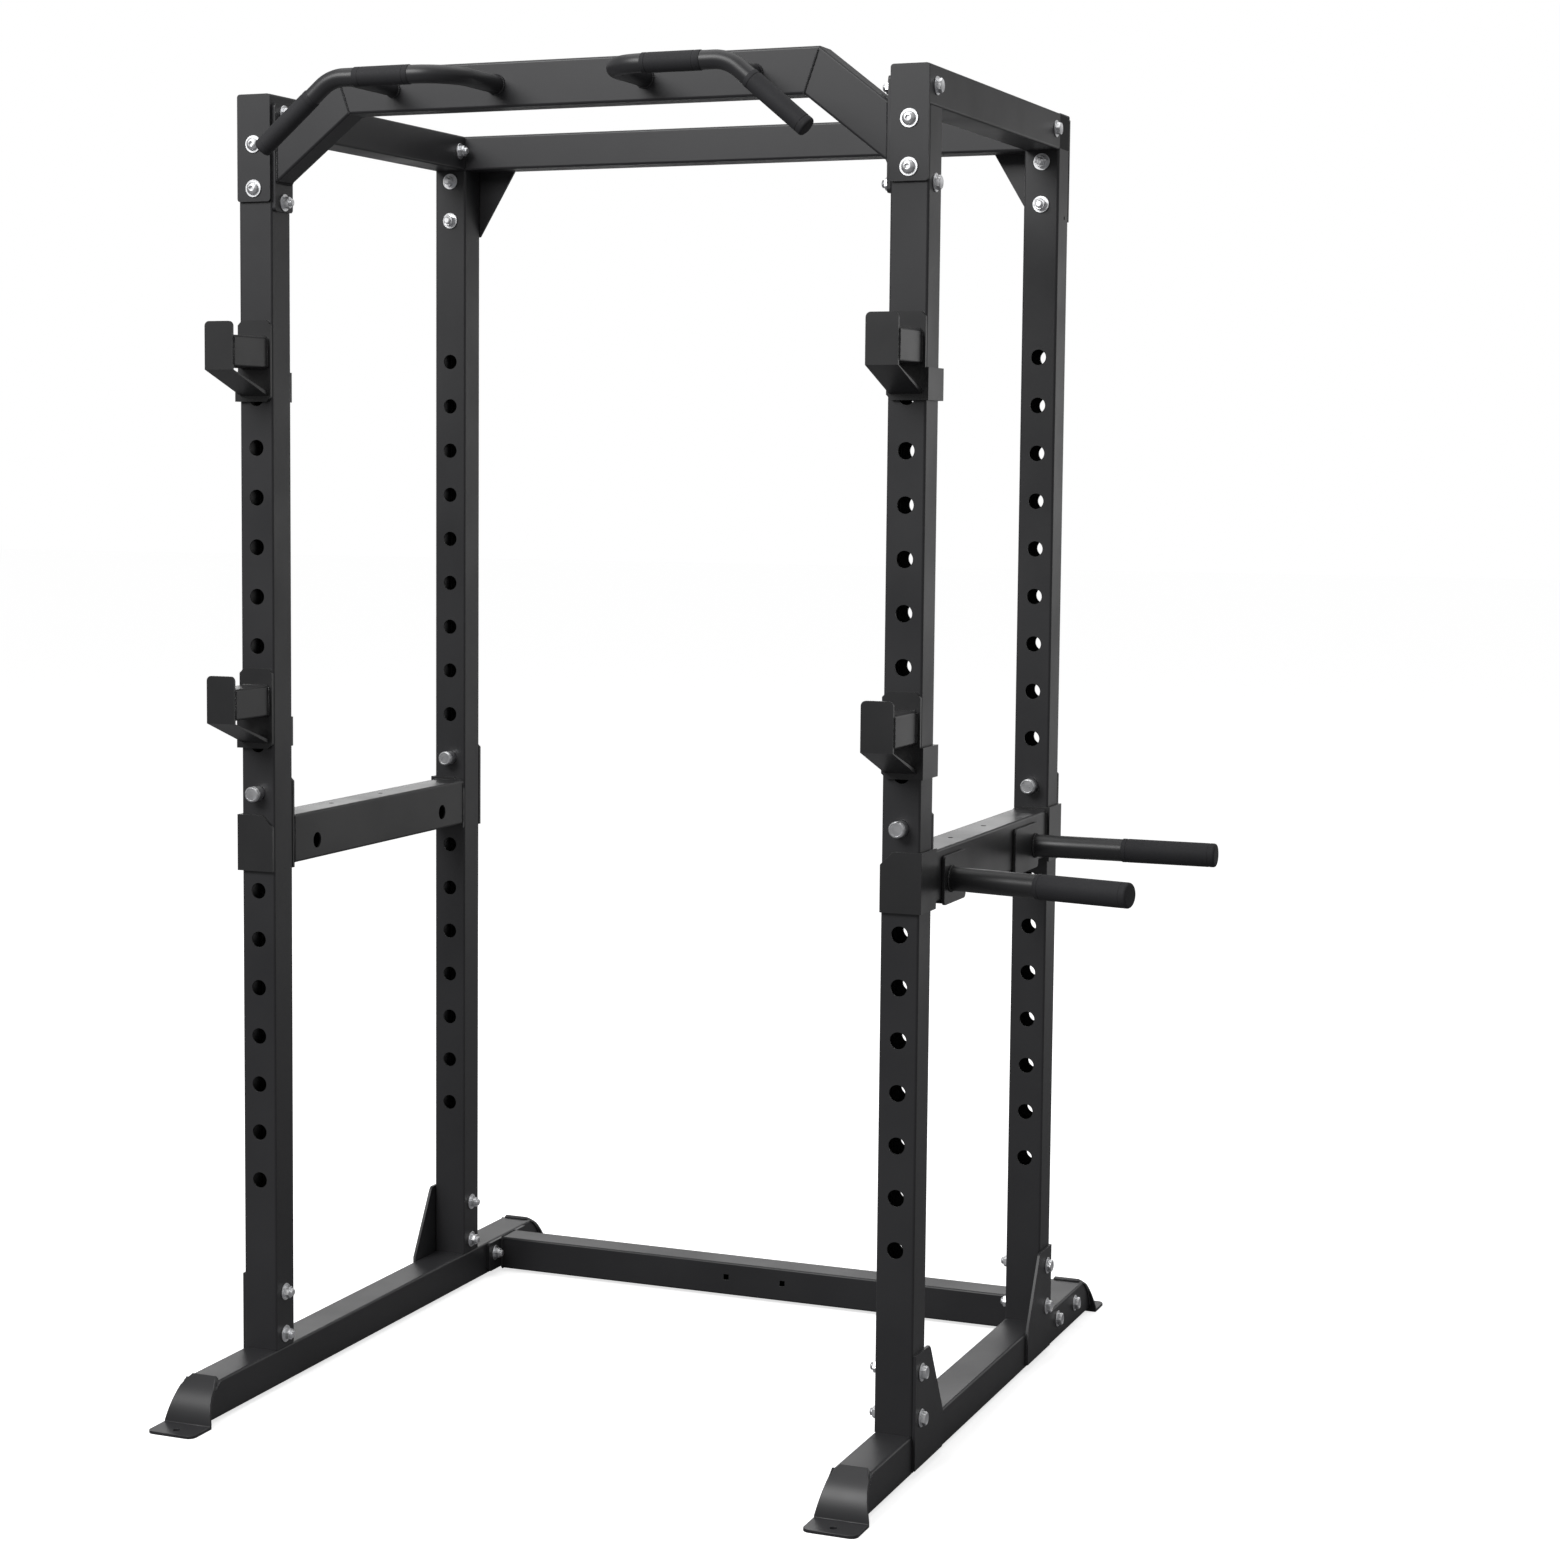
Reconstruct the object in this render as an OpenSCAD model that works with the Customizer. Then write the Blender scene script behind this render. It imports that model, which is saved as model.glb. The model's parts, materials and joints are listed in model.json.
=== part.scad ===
// Power cage: four punched uprights on two base rails, a bent pull-up beam with
// two multi-grip handles, four swing-lock J-hooks, two pin-and-pipe safety bars
// and two dip handles. Millimetres, +X to the right, -Y to the front, +Z up.
// Origin: on the floor, at the centre of the four floor anchor holes.

/* [Frame] */
// Side of the square frame tube
tube = 60; // [50:1:75]
// Wall of the square frame tube
wall = 2.5; // [2:0.5:3]
// Outer corner radius of every tube
corner_r = 4; // [3:0.5:6]
// Distance between left and right upright centres
posts_x = 1100; // [1050:10:1200]
// Distance between front and rear upright centres
posts_y = 690; // [600:10:900]
// How far the uprights' mid-line sits in front of the origin
posts_forward = 25; // [0:5:50]
// Length of one upright
post_len = 1986; // [1900:2:2100]
// Length of a base rail along its top
rail_len = 1150; // [1120:10:1300]
// Gap between the floor and a base rail
rail_lift = 6; // [5:1:12]
// Thickness of welded plates
plate = 5; // [4:0.5:6]

/* [Adjustment holes] */
// Distance from one hole to the next
pitch = 80; // [75:1:85]
// Number of holes in each upright
hole_count = 18; // [12:1:18]
// Diameter of an adjustment hole
hole_d = 26; // [25:0.5:27]
// Height of the lowest hole above the floor
first_hole = 350; // [340:5:360]

/* [Feet] */
// Length of a foot's floor flange
flange_len = 59; // [55:1:75]
// Width of a foot at the floor
foot_w = 84; // [80:1:100]
// Diameter of a floor anchor hole
anchor_d = 11; // [9:0.5:13]

/* [Pull-up beam] */
// Height of the pull-up beam's section
beam_h = 70; // [60:1:80]
// Depth of the pull-up beam's section
beam_d = 50; // [40:1:56]
// Half length of the straight middle, along its top
beam_half = 406; // [380:2:430]
// Slope of the two end arms in degrees
arm_slope = 38; // [34:1:42]
// How far the beam's top stands above the top rails
beam_rise = 33; // [20:1:40]
// Diameter of the bent handle tube
handle_d = 28; // [25:0.5:32]
// How far the handle stands in front of the beam
handle_reach = 160; // [120:5:180]

/* [Accessories] */
// Hole number of the upper J-hooks, counted from 0
upper_hook_hole = 17; // [14:1:17]
// Hole number of the lower J-hooks
lower_hook_hole = 10; // [10:1:12]
// Hole number of the safety bars
safety_hole = 8; // [5:1:8]
// Diameter of the locking pins
pin_d = 25; // [23:0.5:25]
// Diameter of a dip handle's tube
dip_d = 37; // [32:1:40]
// Reach of a dip handle from the safety bar's face
dip_reach = 300; // [250:5:320]

/* [Hidden] */
$fn = 48;

LEFT = -1;
RIGHT = 1;
eps = 0.5;
fit_gap = 0.3;
frame_black = "#2c2c2e";
zinc = "#c9cbcd";
grip_black = "#1d1d1f";

// Frame levels and planes
post_x = posts_x / 2;
inner_x = post_x - tube / 2;
outer_x = post_x + tube / 2;
front_y = -posts_forward - posts_y / 2;
rear_y = -posts_forward + posts_y / 2;
front_face = front_y - tube / 2;
rear_face = rear_y + tube / 2;
rail_top = rail_lift + tube;
post_top = rail_top + post_len;
frame_top = post_top + tube;

// Fasteners: M12, button heads front and rear, hex heads at the sides
shank_d = 12;
bore_d = 13;
washer_d = 28;
washer_t = 2;
head_d = 21;
head_h = 6.5;
hex_d = 22;
hex_h = 7.5;
socket_d = 8;
nut_d = 20;
nut_h = 9;
tip = 5;
drain_d = 6;

// Bolt rows of the welded plates
lug_bolt_z = [88, 159];
top_bolt_z = [post_top - 89, post_top - 19];
flange_bolt_z = [post_top - 110, post_top + 30];
base_beam_y = 466;
base_bolt_y = [base_beam_y - 56, base_beam_y + 56];
base_bolt_z = 42;
tongue_bolt_y = rear_y - tube / 2 - 22;
tongue_bolt_z = post_top + 32;

// Plates on the inner faces that carry the pull-up beam and the base beam
flange_t = 6;
flange_w = 56;
flange_drop = 125;
flange_rise = 45;

// Every bolt as [seat point, direction from head to nut, grip length]
BOLTS = concat(
  [for (s = [LEFT, RIGHT], y = [front_y, rear_y], z = lug_bolt_z)
    [[s * (outer_x + plate), y, z], [-s, 0, 0], tube + plate]],
  [for (s = [LEFT, RIGHT], y = base_bolt_y)
    [[s * outer_x, y, base_bolt_z], [-s, 0, 0], tube + flange_t]],
  [for (s = [LEFT, RIGHT], z = top_bolt_z)
    [[s * post_x, front_face - plate, z], [0, 1, 0], tube + plate]],
  [for (s = [LEFT, RIGHT], z = flange_bolt_z)
    [[s * outer_x, front_y, z], [-s, 0, 0], tube + flange_t]],
  [for (s = [LEFT, RIGHT])
    [[s * outer_x, tongue_bolt_y, tongue_bolt_z], [-s, 0, 0], tube]],
  [for (s = [LEFT, RIGHT], z = top_bolt_z)
    [[s * post_x, rear_face + plate, z], [0, -1, 0], tube + plate]]);

// Pull-up beam
beam_top = frame_top + beam_rise;
beam_bottom = beam_top - beam_h;
beam_wall = 3;
mitre = beam_h * tan(arm_slope / 2);

// Bent handles, measured from the beam's middle
handle_z = beam_top - beam_h / 2;
handle_y = front_y - beam_d / 2 - handle_reach;
handle_root_x = 125;
handle_bend_r = 65;
handle_post_x = 304;
handle_knee_x = 325;
handle_knee = 40;
knee_r = 60;
handle_end = 157;
handle_wall = 2.5;
sleeve = 1;
sleeve_from = 190;
sleeve_len = 94;
arm_sleeve_from = 43;
arm_sleeve_len = handle_end - arm_sleeve_from + 3;

// Foot plate: an arc from the rail's top end down to the floor flange
foot_run = 50;
foot_from = 22;
foot_to = 80;
foot_r = foot_run / (sin(foot_to) - sin(foot_from));
foot_top_w = 62;
rail_end = rail_len / 2;
arc_y = rail_end - foot_r * sin(foot_from);
arc_z = plate - foot_r * cos(foot_to);
bend_y = rail_end + foot_run;
foot_toe = bend_y + flange_len;
anchor_y = foot_toe - 22;

// J-hook, measured from its pin's centre on the upright's front face
hook_t = 6;
hook_up = 44;
hook_down = 86;
cradle_len = 105;
cradle_w = 50;
cradle_top = 17;
cradle_h = 50;
lip_h = 38;
brace_drop = 76;
wrap_top = -38;

// Safety bar, measured from its pin's centre
bar_h = 80;
bar_top = -40;
clip_top = -35;
clip_bottom = -127;
clip_ear = 24;
pin_out = 20;
pin_chamfer = 3;
ear_cut = 20;
bar_hole_d = 26;
dip_y = [front_y + 112, rear_y - 120];

// Dip handle
dip_edges = [[-34, 74], [-114, 20]];
dip_drop = 38;
dip_pin_d = 25;
dip_grip_len = 155;
dip_toe = 13;

function hole_z(k) = first_hole + k * pitch;

// ---------- shared shapes ----------

// Rectangle with round corners, centred
module round_rect(w, h, r) {
  square([w - 2 * r, h], center = true);
  square([w, h - 2 * r], center = true);
  for (x = [-1, 1], y = [-1, 1])
    translate([x * (w / 2 - r), y * (h / 2 - r)])
      circle(r);
}

// Section of a rectangular tube
module tube_section(w, h, t) {
  difference() {
    round_rect(w, h, corner_r);
    round_rect(w - 2 * t, h - 2 * t, corner_r - t + 0.5);
  }
}

// Tube along +Y, +Z or +X, from its start face's centre
module tube_y(w, h, len, t = wall)
  rotate([-90, 0, 0]) linear_extrude(len) tube_section(w, h, t);
module tube_z(w, h, len, t = wall)
  linear_extrude(len) tube_section(w, h, t);
module tube_x(w, h, len, t = wall)
  rotate([90, 0, 90]) linear_extrude(len) tube_section(w, h, t);

// Flat plate with round corners whose normal is X, Y; thickness centred
module plate_x(y, z, t, r = 6)
  rotate([90, 0, 90]) linear_extrude(t, center = true) round_rect(y, z, r);
module plate_y(x, z, t, r = 6)
  rotate([90, 0, 0]) linear_extrude(t, center = true) round_rect(x, z, r);

// Rod between two points on one axis line
module along(p, dir)
  translate(p)
    rotate(dir.x != 0 ? [0, dir.x * 90, 0] : [-dir.y * 90, 0, 0])
      children();

// Bores of all the frame bolts near one place
module bolt_bores(reach_x, reach_y, reach_z, centre) {
  for (b = BOLTS)
    if (abs(b[0].x - centre.x) < reach_x
        && abs(b[0].y - centre.y) < reach_y
        && abs(b[0].z - centre.z) < reach_z)
      along(b[0] - 20 * b[1], b[1]) cylinder(d = bore_d, h = b[2] + 40);
}

// ---------- base ----------

// Rail whose ends are cut to sit inside the curved feet
module base_rail(side)
  color(frame_black) difference() {
    intersection() {
      translate([side * post_x, -bend_y, rail_lift + tube / 2]) tube_y(tube, tube, 2 * bend_y);
      translate([side * post_x, 0, 0]) rotate([90, 0, 90]) linear_extrude(2 * tube, center = true) {
        square([2 * arc_y, 4 * tube], center = true);
        for (y = [-arc_y, arc_y])
          translate([y, arc_z]) circle(foot_r - 0.2, $fn = 96);
      }
    }
    bolt_bores(tube, tube, tube / 2, [side * outer_x, base_beam_y, base_bolt_z]);
    bolt_bores(tube, tube, tube / 2, [side * outer_x, base_bolt_y[0], base_bolt_z]);
  }

// Outline of a foot plate seen from the front
module foot_outline() {
  shoulder = 9;
  polygon([[-foot_w / 2, 0], [foot_w / 2, 0], [foot_w / 2, plate + 2],
           [foot_top_w / 2, rail_top - shoulder], [foot_top_w / 2 - shoulder, rail_top + plate],
           [shoulder - foot_top_w / 2, rail_top + plate], [-foot_top_w / 2, rail_top - shoulder],
           [-foot_w / 2, plate + 2]]);
}

// Curved foot plate with its floor flange; end is -1 at the front, 1 at the rear
module foot(side, end) {
  far = foot_r * 2;
  low = foot_to + 6;
  toe_r = 12;
  color(frame_black) translate([side * post_x, 0, 0]) scale([1, end, 1]) {
    intersection() {
      translate([0, arc_y, arc_z]) rotate([90, 0, 90])
        linear_extrude(foot_w, center = true) intersection() {
          difference() {
            circle(foot_r + plate, $fn = 96);
            circle(foot_r, $fn = 96);
          }
          polygon([[0, 0], far * [sin(foot_from), cos(foot_from)], [far, far],
                   far * [sin(low), cos(low)]]);
        }
      rotate([90, 0, 0]) translate([0, 0, -foot_toe]) linear_extrude(foot_toe) foot_outline();
    }
    difference() {
      union() {
        translate([-foot_w / 2, bend_y, 0])
          cube([foot_w, foot_toe - toe_r - bend_y, plate]);
        translate([toe_r - foot_w / 2, bend_y, 0])
          cube([foot_w - 2 * toe_r, foot_toe - bend_y, plate]);
        for (x = [-1, 1])
          translate([x * (foot_w / 2 - toe_r), foot_toe - toe_r, 0]) cylinder(r = toe_r, h = plate);
      }
      translate([0, anchor_y, -eps]) cylinder(d = anchor_d, h = plate + 2 * eps);
    }
  }
}

// Trapezoid lug welded to the rail and bolted to the upright
module lug(side, end) {
  y0 = end < 0 ? front_face + 3 : rear_face - 3;
  color(frame_black) difference() {
    translate([side > 0 ? outer_x : -outer_x - plate, 0, 0])
      rotate([90, 0, 90]) linear_extrude(plate)
        polygon([for (p = [[0, 12], [0, 190], [66, 190], [72, 185], [136, 72], [136, 12]])
          [y0 - end * p.x, p.y]]);
    bolt_bores(tube, tube / 2, tube * 2, [side * outer_x, end < 0 ? front_y : rear_y, tube * 2]);
  }
}

module rear_base_beam()
  color(frame_black) difference() {
    translate([-inner_x + flange_t, base_beam_y, rail_lift + tube / 2])
      tube_x(tube, tube, 2 * (inner_x - flange_t));
    for (x = [-55, 55])
      translate([x, base_beam_y - tube / 2, rail_lift + tube / 2 + 3])
        cube([10, 4 * wall, 10], center = true);
  }

module base_beam_plate(side)
  color(frame_black) difference() {
    translate([side * (inner_x - flange_t / 2), base_beam_y, rail_lift + tube / 2 + 1])
      plate_x(162, 54, flange_t, 8);
    bolt_bores(tube, 2 * tube, tube / 2, [side * outer_x, base_beam_y, base_bolt_z]);
  }

// ---------- uprights ----------

module upright(side, y)
  color(frame_black) difference() {
    translate([side * post_x, y, rail_top]) tube_z(tube, tube, post_len);
    for (k = [0 : hole_count - 1])
      translate([side * post_x, y - tube / 2 - eps, hole_z(k)])
        rotate([-90, 0, 0]) cylinder(d = hole_d, h = tube + 2 * eps);
    bolt_bores(tube, tube, 2 * tube, [side * outer_x, y, tube * 2]);
    bolt_bores(tube, tube, 2 * tube, [side * outer_x, y, post_top - 2 * tube]);
    // drain hole in the outer wall of a rear upright
    if (y > 0)
      translate([side * (outer_x - wall), y + 7, post_top - 110])
        rotate([0, 90, 0]) cylinder(d = drain_d, h = 3 * wall, center = true);
  }

// ---------- top frame ----------

module top_rail(side)
  color(frame_black) difference() {
    translate([side * post_x, front_face, post_top + tube / 2])
      tube_y(tube, tube, posts_y);
    bolt_bores(tube, posts_y, tube / 2, [side * outer_x, 0, frame_top - tube / 2]);
  }

module top_plate(side)
  color(frame_black) difference() {
    translate([side * post_x, front_face - plate / 2, (frame_top + post_top - 110) / 2])
      plate_y(tube, tube + 110, plate, 5);
    bolt_bores(tube, tube, 2 * tube, [side * post_x, front_face, post_top - tube]);
  }

module rear_top_beam()
  color(frame_black) {
    translate([-outer_x, rear_y, post_top + tube / 2]) tube_x(tube, tube, 2 * outer_x);
    for (s = [LEFT, RIGHT])
      difference() {
        translate([s * post_x, rear_y - tube / 2 - 42, post_top + tube / 2])
          tube_y(tube - 2 * wall - 1, tube - 2 * wall - 1, 42, 4);
        bolt_bores(tube, tube, tube / 2, [s * outer_x, tongue_bolt_y, tongue_bolt_z]);
      }
  }

module rear_gusset(side)
  color(frame_black) difference() {
    translate([0, rear_face + plate, 0]) rotate([90, 0, 0]) linear_extrude(plate)
      polygon([for (p = [[outer_x, post_top - 115], [inner_x, post_top - 115],
                         [inner_x - 70, post_top + 2], [inner_x - 70, frame_top - 6],
                         [outer_x, frame_top - 6]]) [side * p.x, p.y]]);
    bolt_bores(tube, tube, 2 * tube, [side * post_x, rear_face, post_top - tube]);
  }

module beam_end_caps()
  color(grip_black) for (s = [LEFT, RIGHT])
    translate([s * (outer_x - 2), rear_y, post_top + tube / 2])
      plate_x(tube - 2 * wall, tube - 2 * wall, 4, corner_r - wall + 0.5);

// ---------- pull-up beam ----------

module pullup_beam()
  color(frame_black) intersection() {
    translate([-beam_half, front_y, beam_top - beam_h / 2])
      tube_x(beam_d, beam_h, 2 * beam_half, beam_wall);
    translate([0, front_y + beam_d, 0]) rotate([90, 0, 0]) linear_extrude(2 * beam_d)
      polygon([[-beam_half, beam_top], [beam_half, beam_top],
               [beam_half - mitre, beam_bottom], [mitre - beam_half, beam_bottom]]);
  }

module pullup_arm(side) {
  end_x = inner_x - flange_t;
  over = beam_h;
  color(frame_black) scale([side, 1, 1]) intersection() {
    translate([beam_half, front_y, beam_top]) rotate([0, arm_slope, 0])
      translate([-over, 0, -beam_h / 2]) tube_x(beam_d, beam_h, 5 * over, beam_wall);
    translate([0, front_y + beam_d, 0]) rotate([90, 0, 0]) linear_extrude(2 * beam_d)
      polygon([[beam_half - mitre, beam_bottom], [beam_half, beam_top], [end_x, beam_top],
               [end_x, beam_bottom - 2 * over], [beam_half - mitre, beam_bottom - 2 * over]]);
  }
}

module pullup_flange(side)
  color(frame_black) difference() {
    translate([side * (inner_x - flange_t / 2), front_y, post_top + (flange_rise - flange_drop) / 2])
      plate_x(flange_w, flange_drop + flange_rise, flange_t, 6);
    bolt_bores(tube, tube, 2 * tube, [side * outer_x, front_y, post_top - tube]);
  }

// The bent handle's centre line swept with a circle of radius r; the two bends
// are a hair fatter and close over the ends of the straight lengths
module handle_run(r, past) {
  tangent = knee_r * tan(handle_knee / 2);
  lap = 1;
  fat = 0.1;
  // root, straight back to the beam
  translate([handle_root_x, handle_y + handle_bend_r - lap, 0]) rotate([-90, 0, 0])
    cylinder(r = r, h = handle_reach - handle_bend_r + lap + past);
  // root bend
  translate([handle_root_x + handle_bend_r, handle_y + handle_bend_r, 0])
    rotate([0, 0, 180]) rotate_extrude(angle = 90) translate([handle_bend_r, 0]) circle(r + fat);
  // inner grip
  translate([handle_root_x + handle_bend_r - lap, handle_y, 0]) rotate([0, 90, 0])
    cylinder(r = r, h = handle_knee_x - tangent - handle_root_x - handle_bend_r + 2 * lap);
  // knee
  translate([handle_knee_x - tangent, handle_y, -knee_r]) rotate([90, 0, 0])
    rotate([0, 0, 90 - handle_knee]) rotate_extrude(angle = handle_knee)
      translate([knee_r, 0]) circle(r + fat);
  // outer grip
  translate([handle_knee_x, handle_y, 0]) rotate([0, 90 + handle_knee, 0])
    translate([0, 0, tangent - lap]) cylinder(r = r, h = handle_end - tangent + lap + past);
}

module pullup_handle(side)
  color(frame_black) translate([0, 0, handle_z]) scale([side, 1, 1]) {
    difference() {
      handle_run(handle_d / 2, 0);
      handle_run(handle_d / 2 - handle_wall, eps);
    }
    difference() {
      translate([handle_post_x, handle_y, 0]) rotate([-90, 0, 0])
        cylinder(d = 22, h = handle_reach);
      translate([handle_post_x - tube / 2, handle_y, 0]) rotate([0, 90, 0])
        cylinder(d = handle_d - 2, h = tube);
    }
  }

module pullup_grips()
  color(grip_black) translate([0, 0, handle_z]) for (s = [LEFT, RIGHT]) scale([s, 1, 1]) {
    translate([sleeve_from, handle_y, 0]) rotate([0, 90, 0]) difference() {
      cylinder(d = handle_d + 2 * sleeve, h = sleeve_len);
      translate([0, 0, -eps]) cylinder(d = handle_d, h = sleeve_len + 2 * eps);
    }
    translate([handle_knee_x, handle_y, 0]) rotate([0, 90 + handle_knee, 0])
      translate([0, 0, arm_sleeve_from]) difference() {
        cylinder(d = handle_d + 2 * sleeve, h = arm_sleeve_len);
        translate([0, 0, -eps])
          cylinder(d = handle_d, h = handle_end - arm_sleeve_from + eps);
      }
  }

// ---------- fasteners ----------

module frame_bolts()
  color(zinc) for (b = BOLTS)
    along(b[0] - washer_t * b[1], b[1]) {
      cylinder(d = shank_d, h = b[2] + 2 * washer_t + nut_h + tip);
      if (b[1].x == 0)
        difference() {
          translate([0, 0, -head_h]) cylinder(d1 = head_d * 0.62, d2 = head_d, h = head_h);
          translate([0, 0, -head_h - eps]) cylinder(d = socket_d, h = head_h / 2 + eps, $fn = 6);
        }
      else
        translate([0, 0, -hex_h]) cylinder(d = hex_d, h = hex_h, $fn = 6);
    }

module frame_washers()
  color(zinc) for (b = BOLTS, far = [0, 1])
    along(b[0] + far * b[2] * b[1] - (1 - far) * washer_t * b[1], b[1]) difference() {
      cylinder(d = washer_d, h = washer_t);
      translate([0, 0, -eps]) cylinder(d = shank_d, h = washer_t + 2 * eps);
    }

module frame_nuts()
  color(zinc) for (b = BOLTS)
    along(b[0] + (b[2] + washer_t) * b[1], b[1]) difference() {
      cylinder(d = nut_d, h = nut_h, $fn = 6);
      translate([0, 0, -eps]) cylinder(d = shank_d, h = nut_h + 2 * eps);
    }

// ---------- J-hooks ----------

// A pin's centre on the front face of a front upright
module at_hook(side, k)
  translate([side * post_x, front_face, hole_z(k)]) scale([side, 1, 1]) children();

module jhook(side, k)
  color(frame_black) at_hook(side, k) {
    back = -fit_gap - hook_t;
    far = tube + fit_gap;
    // back plate against the upright, wider below where the wrap starts
    translate([0, -fit_gap, 0]) rotate([90, 0, 0]) linear_extrude(hook_t) union() {
      polygon([[-30, 8 - hook_down], [-22, -hook_down], [tube / 2, -hook_down], [tube / 2, hook_up - 8],
               [tube / 2 - 8, hook_up], [8 - tube / 2, hook_up], [-tube / 2, hook_up - 8]]);
      translate([0, -hook_down]) square([tube / 2 + fit_gap + plate, wrap_top + hook_down]);
    }
    // cradle tube, lip and brace
    translate([0, back - cradle_len, cradle_top - cradle_h / 2])
      tube_y(cradle_w, cradle_h, cradle_len, 3);
    translate([0, back - cradle_len - plate / 2, 0]) rotate([90, 0, 0])
      linear_extrude(plate, center = true) {
        translate([-cradle_w / 2, -lip_h]) square([cradle_w, 2 * lip_h - 8]);
        translate([8 - cradle_w / 2, 0]) square([cradle_w - 16, lip_h]);
        for (x = [-1, 1]) translate([x * (cradle_w / 2 - 8), lip_h - 8]) circle(8);
      }
    translate([-cradle_w / 2, 0, 0]) rotate([90, 0, 90]) linear_extrude(cradle_w)
      polygon([[back - cradle_len - plate, -lip_h], [back - cradle_len, -lip_h],
               [back, -brace_drop + 5], [back, -brace_drop - 1]]);
    // wrap round the outer side and behind the upright
    translate([tube / 2 + fit_gap, -fit_gap - hook_t, -hook_down])
      cube([plate, far + 2 * hook_t, wrap_top + hook_down]);
    translate([2 - tube / 2, far, -hook_down])
      cube([tube + fit_gap - 1, hook_t - fit_gap, wrap_top + hook_down]);
  }

module jhook_pin(side, k)
  color(zinc) at_hook(side, k)
    translate([0, -fit_gap, 0]) rotate([-90, 0, 0]) {
      cylinder(d = pin_d, h = tube);
      translate([0, 0, tube]) cylinder(d1 = pin_d, d2 = pin_d - 6, h = 3);
    }

// ---------- safety bars ----------

module at_safety(side, y)
  translate([side * post_x, y, hole_z(safety_hole)]) scale([side, 1, 1]) children();

// C-shaped bracket round an upright, from the outer side; y is its front face
module clip(side, y)
  color(frame_black) at_safety(side, y) {
    h = clip_top - clip_bottom;
    translate([0, -fit_gap, 0]) rotate([90, 0, 0]) linear_extrude(hook_t)
      polygon([[-tube / 2, clip_bottom], [tube / 2 + fit_gap + plate, clip_bottom],
               [tube / 2 + fit_gap + plate, clip_top], [ear_cut - tube / 2, clip_top],
               [-tube / 2, clip_top - ear_cut]]);
    translate([tube / 2 + fit_gap, -fit_gap, clip_bottom]) cube([plate, tube + 2 * fit_gap, h]);
    translate([0, tube + fit_gap + hook_t, 0]) rotate([90, 0, 0]) linear_extrude(hook_t) {
      polygon([[-tube / 2, clip_bottom], [tube / 2 + fit_gap + plate, clip_bottom],
               [tube / 2 + fit_gap + plate, clip_top], [tube / 2, clip_top],
               [tube / 2, clip_ear - 8], [tube / 2 - 8, clip_ear], [8 - tube / 2, clip_ear],
               [-tube / 2, clip_ear - 8]]);
    }
  }

module safety_bar(side)
  color(frame_black) at_safety(side, front_face) difference() {
    start = tube + fit_gap + hook_t;
    len = posts_y - fit_gap - hook_t - start;
    translate([0, start, bar_top - bar_h / 2]) tube_y(tube, bar_h, len, 3);
    for (y = dip_y)
      translate([-tube / 2 - eps, y - front_face, bar_top - bar_h / 2 - 10])
        rotate([0, 90, 0]) cylinder(d = bar_hole_d, h = tube + 2 * eps);
    for (y = [245, 420])
      translate([0, y, bar_top - 5]) cylinder(d = 9, h = 6);
  }

module safety_pins(side)
  color(zinc) for (y = [front_face, rear_y - tube / 2])
    at_safety(side, y) translate([0, tube + fit_gap, 0]) rotate([90, 0, 0]) {
      cylinder(d = pin_d, h = tube + fit_gap + pin_out);
      translate([0, 0, tube + fit_gap + pin_out])
        cylinder(d1 = pin_d, d2 = pin_d - 2 * pin_chamfer, h = pin_chamfer);
    }

// ---------- dip handles ----------

// Frame of a dip handle: its pin's axis on the safety bar's outer face
module at_dip(y)
  translate([outer_x, y, hole_z(safety_hole) + bar_top - bar_h / 2 - 10]) children();

// Base plate with a lip under the bar and the pin through it; edges are where
// the plate ends in front of and behind the pin
module dip_plate(y, edges)
  color(frame_black) at_dip(y) {
    below = bar_h / 2 - 10;
    width = edges[1] - edges[0];
    translate([fit_gap + plate / 2, (edges[0] + edges[1]) / 2, 0])
      plate_x(width, 2 * dip_drop, plate, 8);
    translate([-30, edges[0] + 8, -below - 6]) cube([30 + fit_gap + plate, width - 16, 5.7]);
    translate([fit_gap, 0, 0]) rotate([0, -90, 0]) cylinder(d = dip_pin_d, h = tube + 4);
  }

module dip_tube(y, toe)
  color(frame_black) at_dip(y) translate([fit_gap + plate, 0, 0])
    intersection() {
      rotate([0, 0, -toe]) translate([-20, 0, 0]) rotate([0, 90, 0]) difference() {
        cylinder(d = dip_d, h = dip_reach + 20);
        translate([0, 0, -eps]) cylinder(d = dip_d - 6, h = dip_reach + 20 + 2 * eps);
      }
      translate([0, -2 * dip_reach, -dip_d]) cube([2 * dip_reach, 4 * dip_reach, 2 * dip_d]);
    }

module dip_grip(y, toe)
  color(grip_black) at_dip(y) translate([fit_gap + plate, 0, 0]) rotate([0, 0, -toe])
    rotate([0, 90, 0]) translate([0, 0, dip_reach - dip_grip_len + 4]) difference() {
      cylinder(d = dip_d + 2, h = dip_grip_len);
      translate([0, 0, -eps]) cylinder(d = dip_d, h = dip_grip_len - 4 + eps);
    }

// ---------- draw one node, or all ----------

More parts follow.
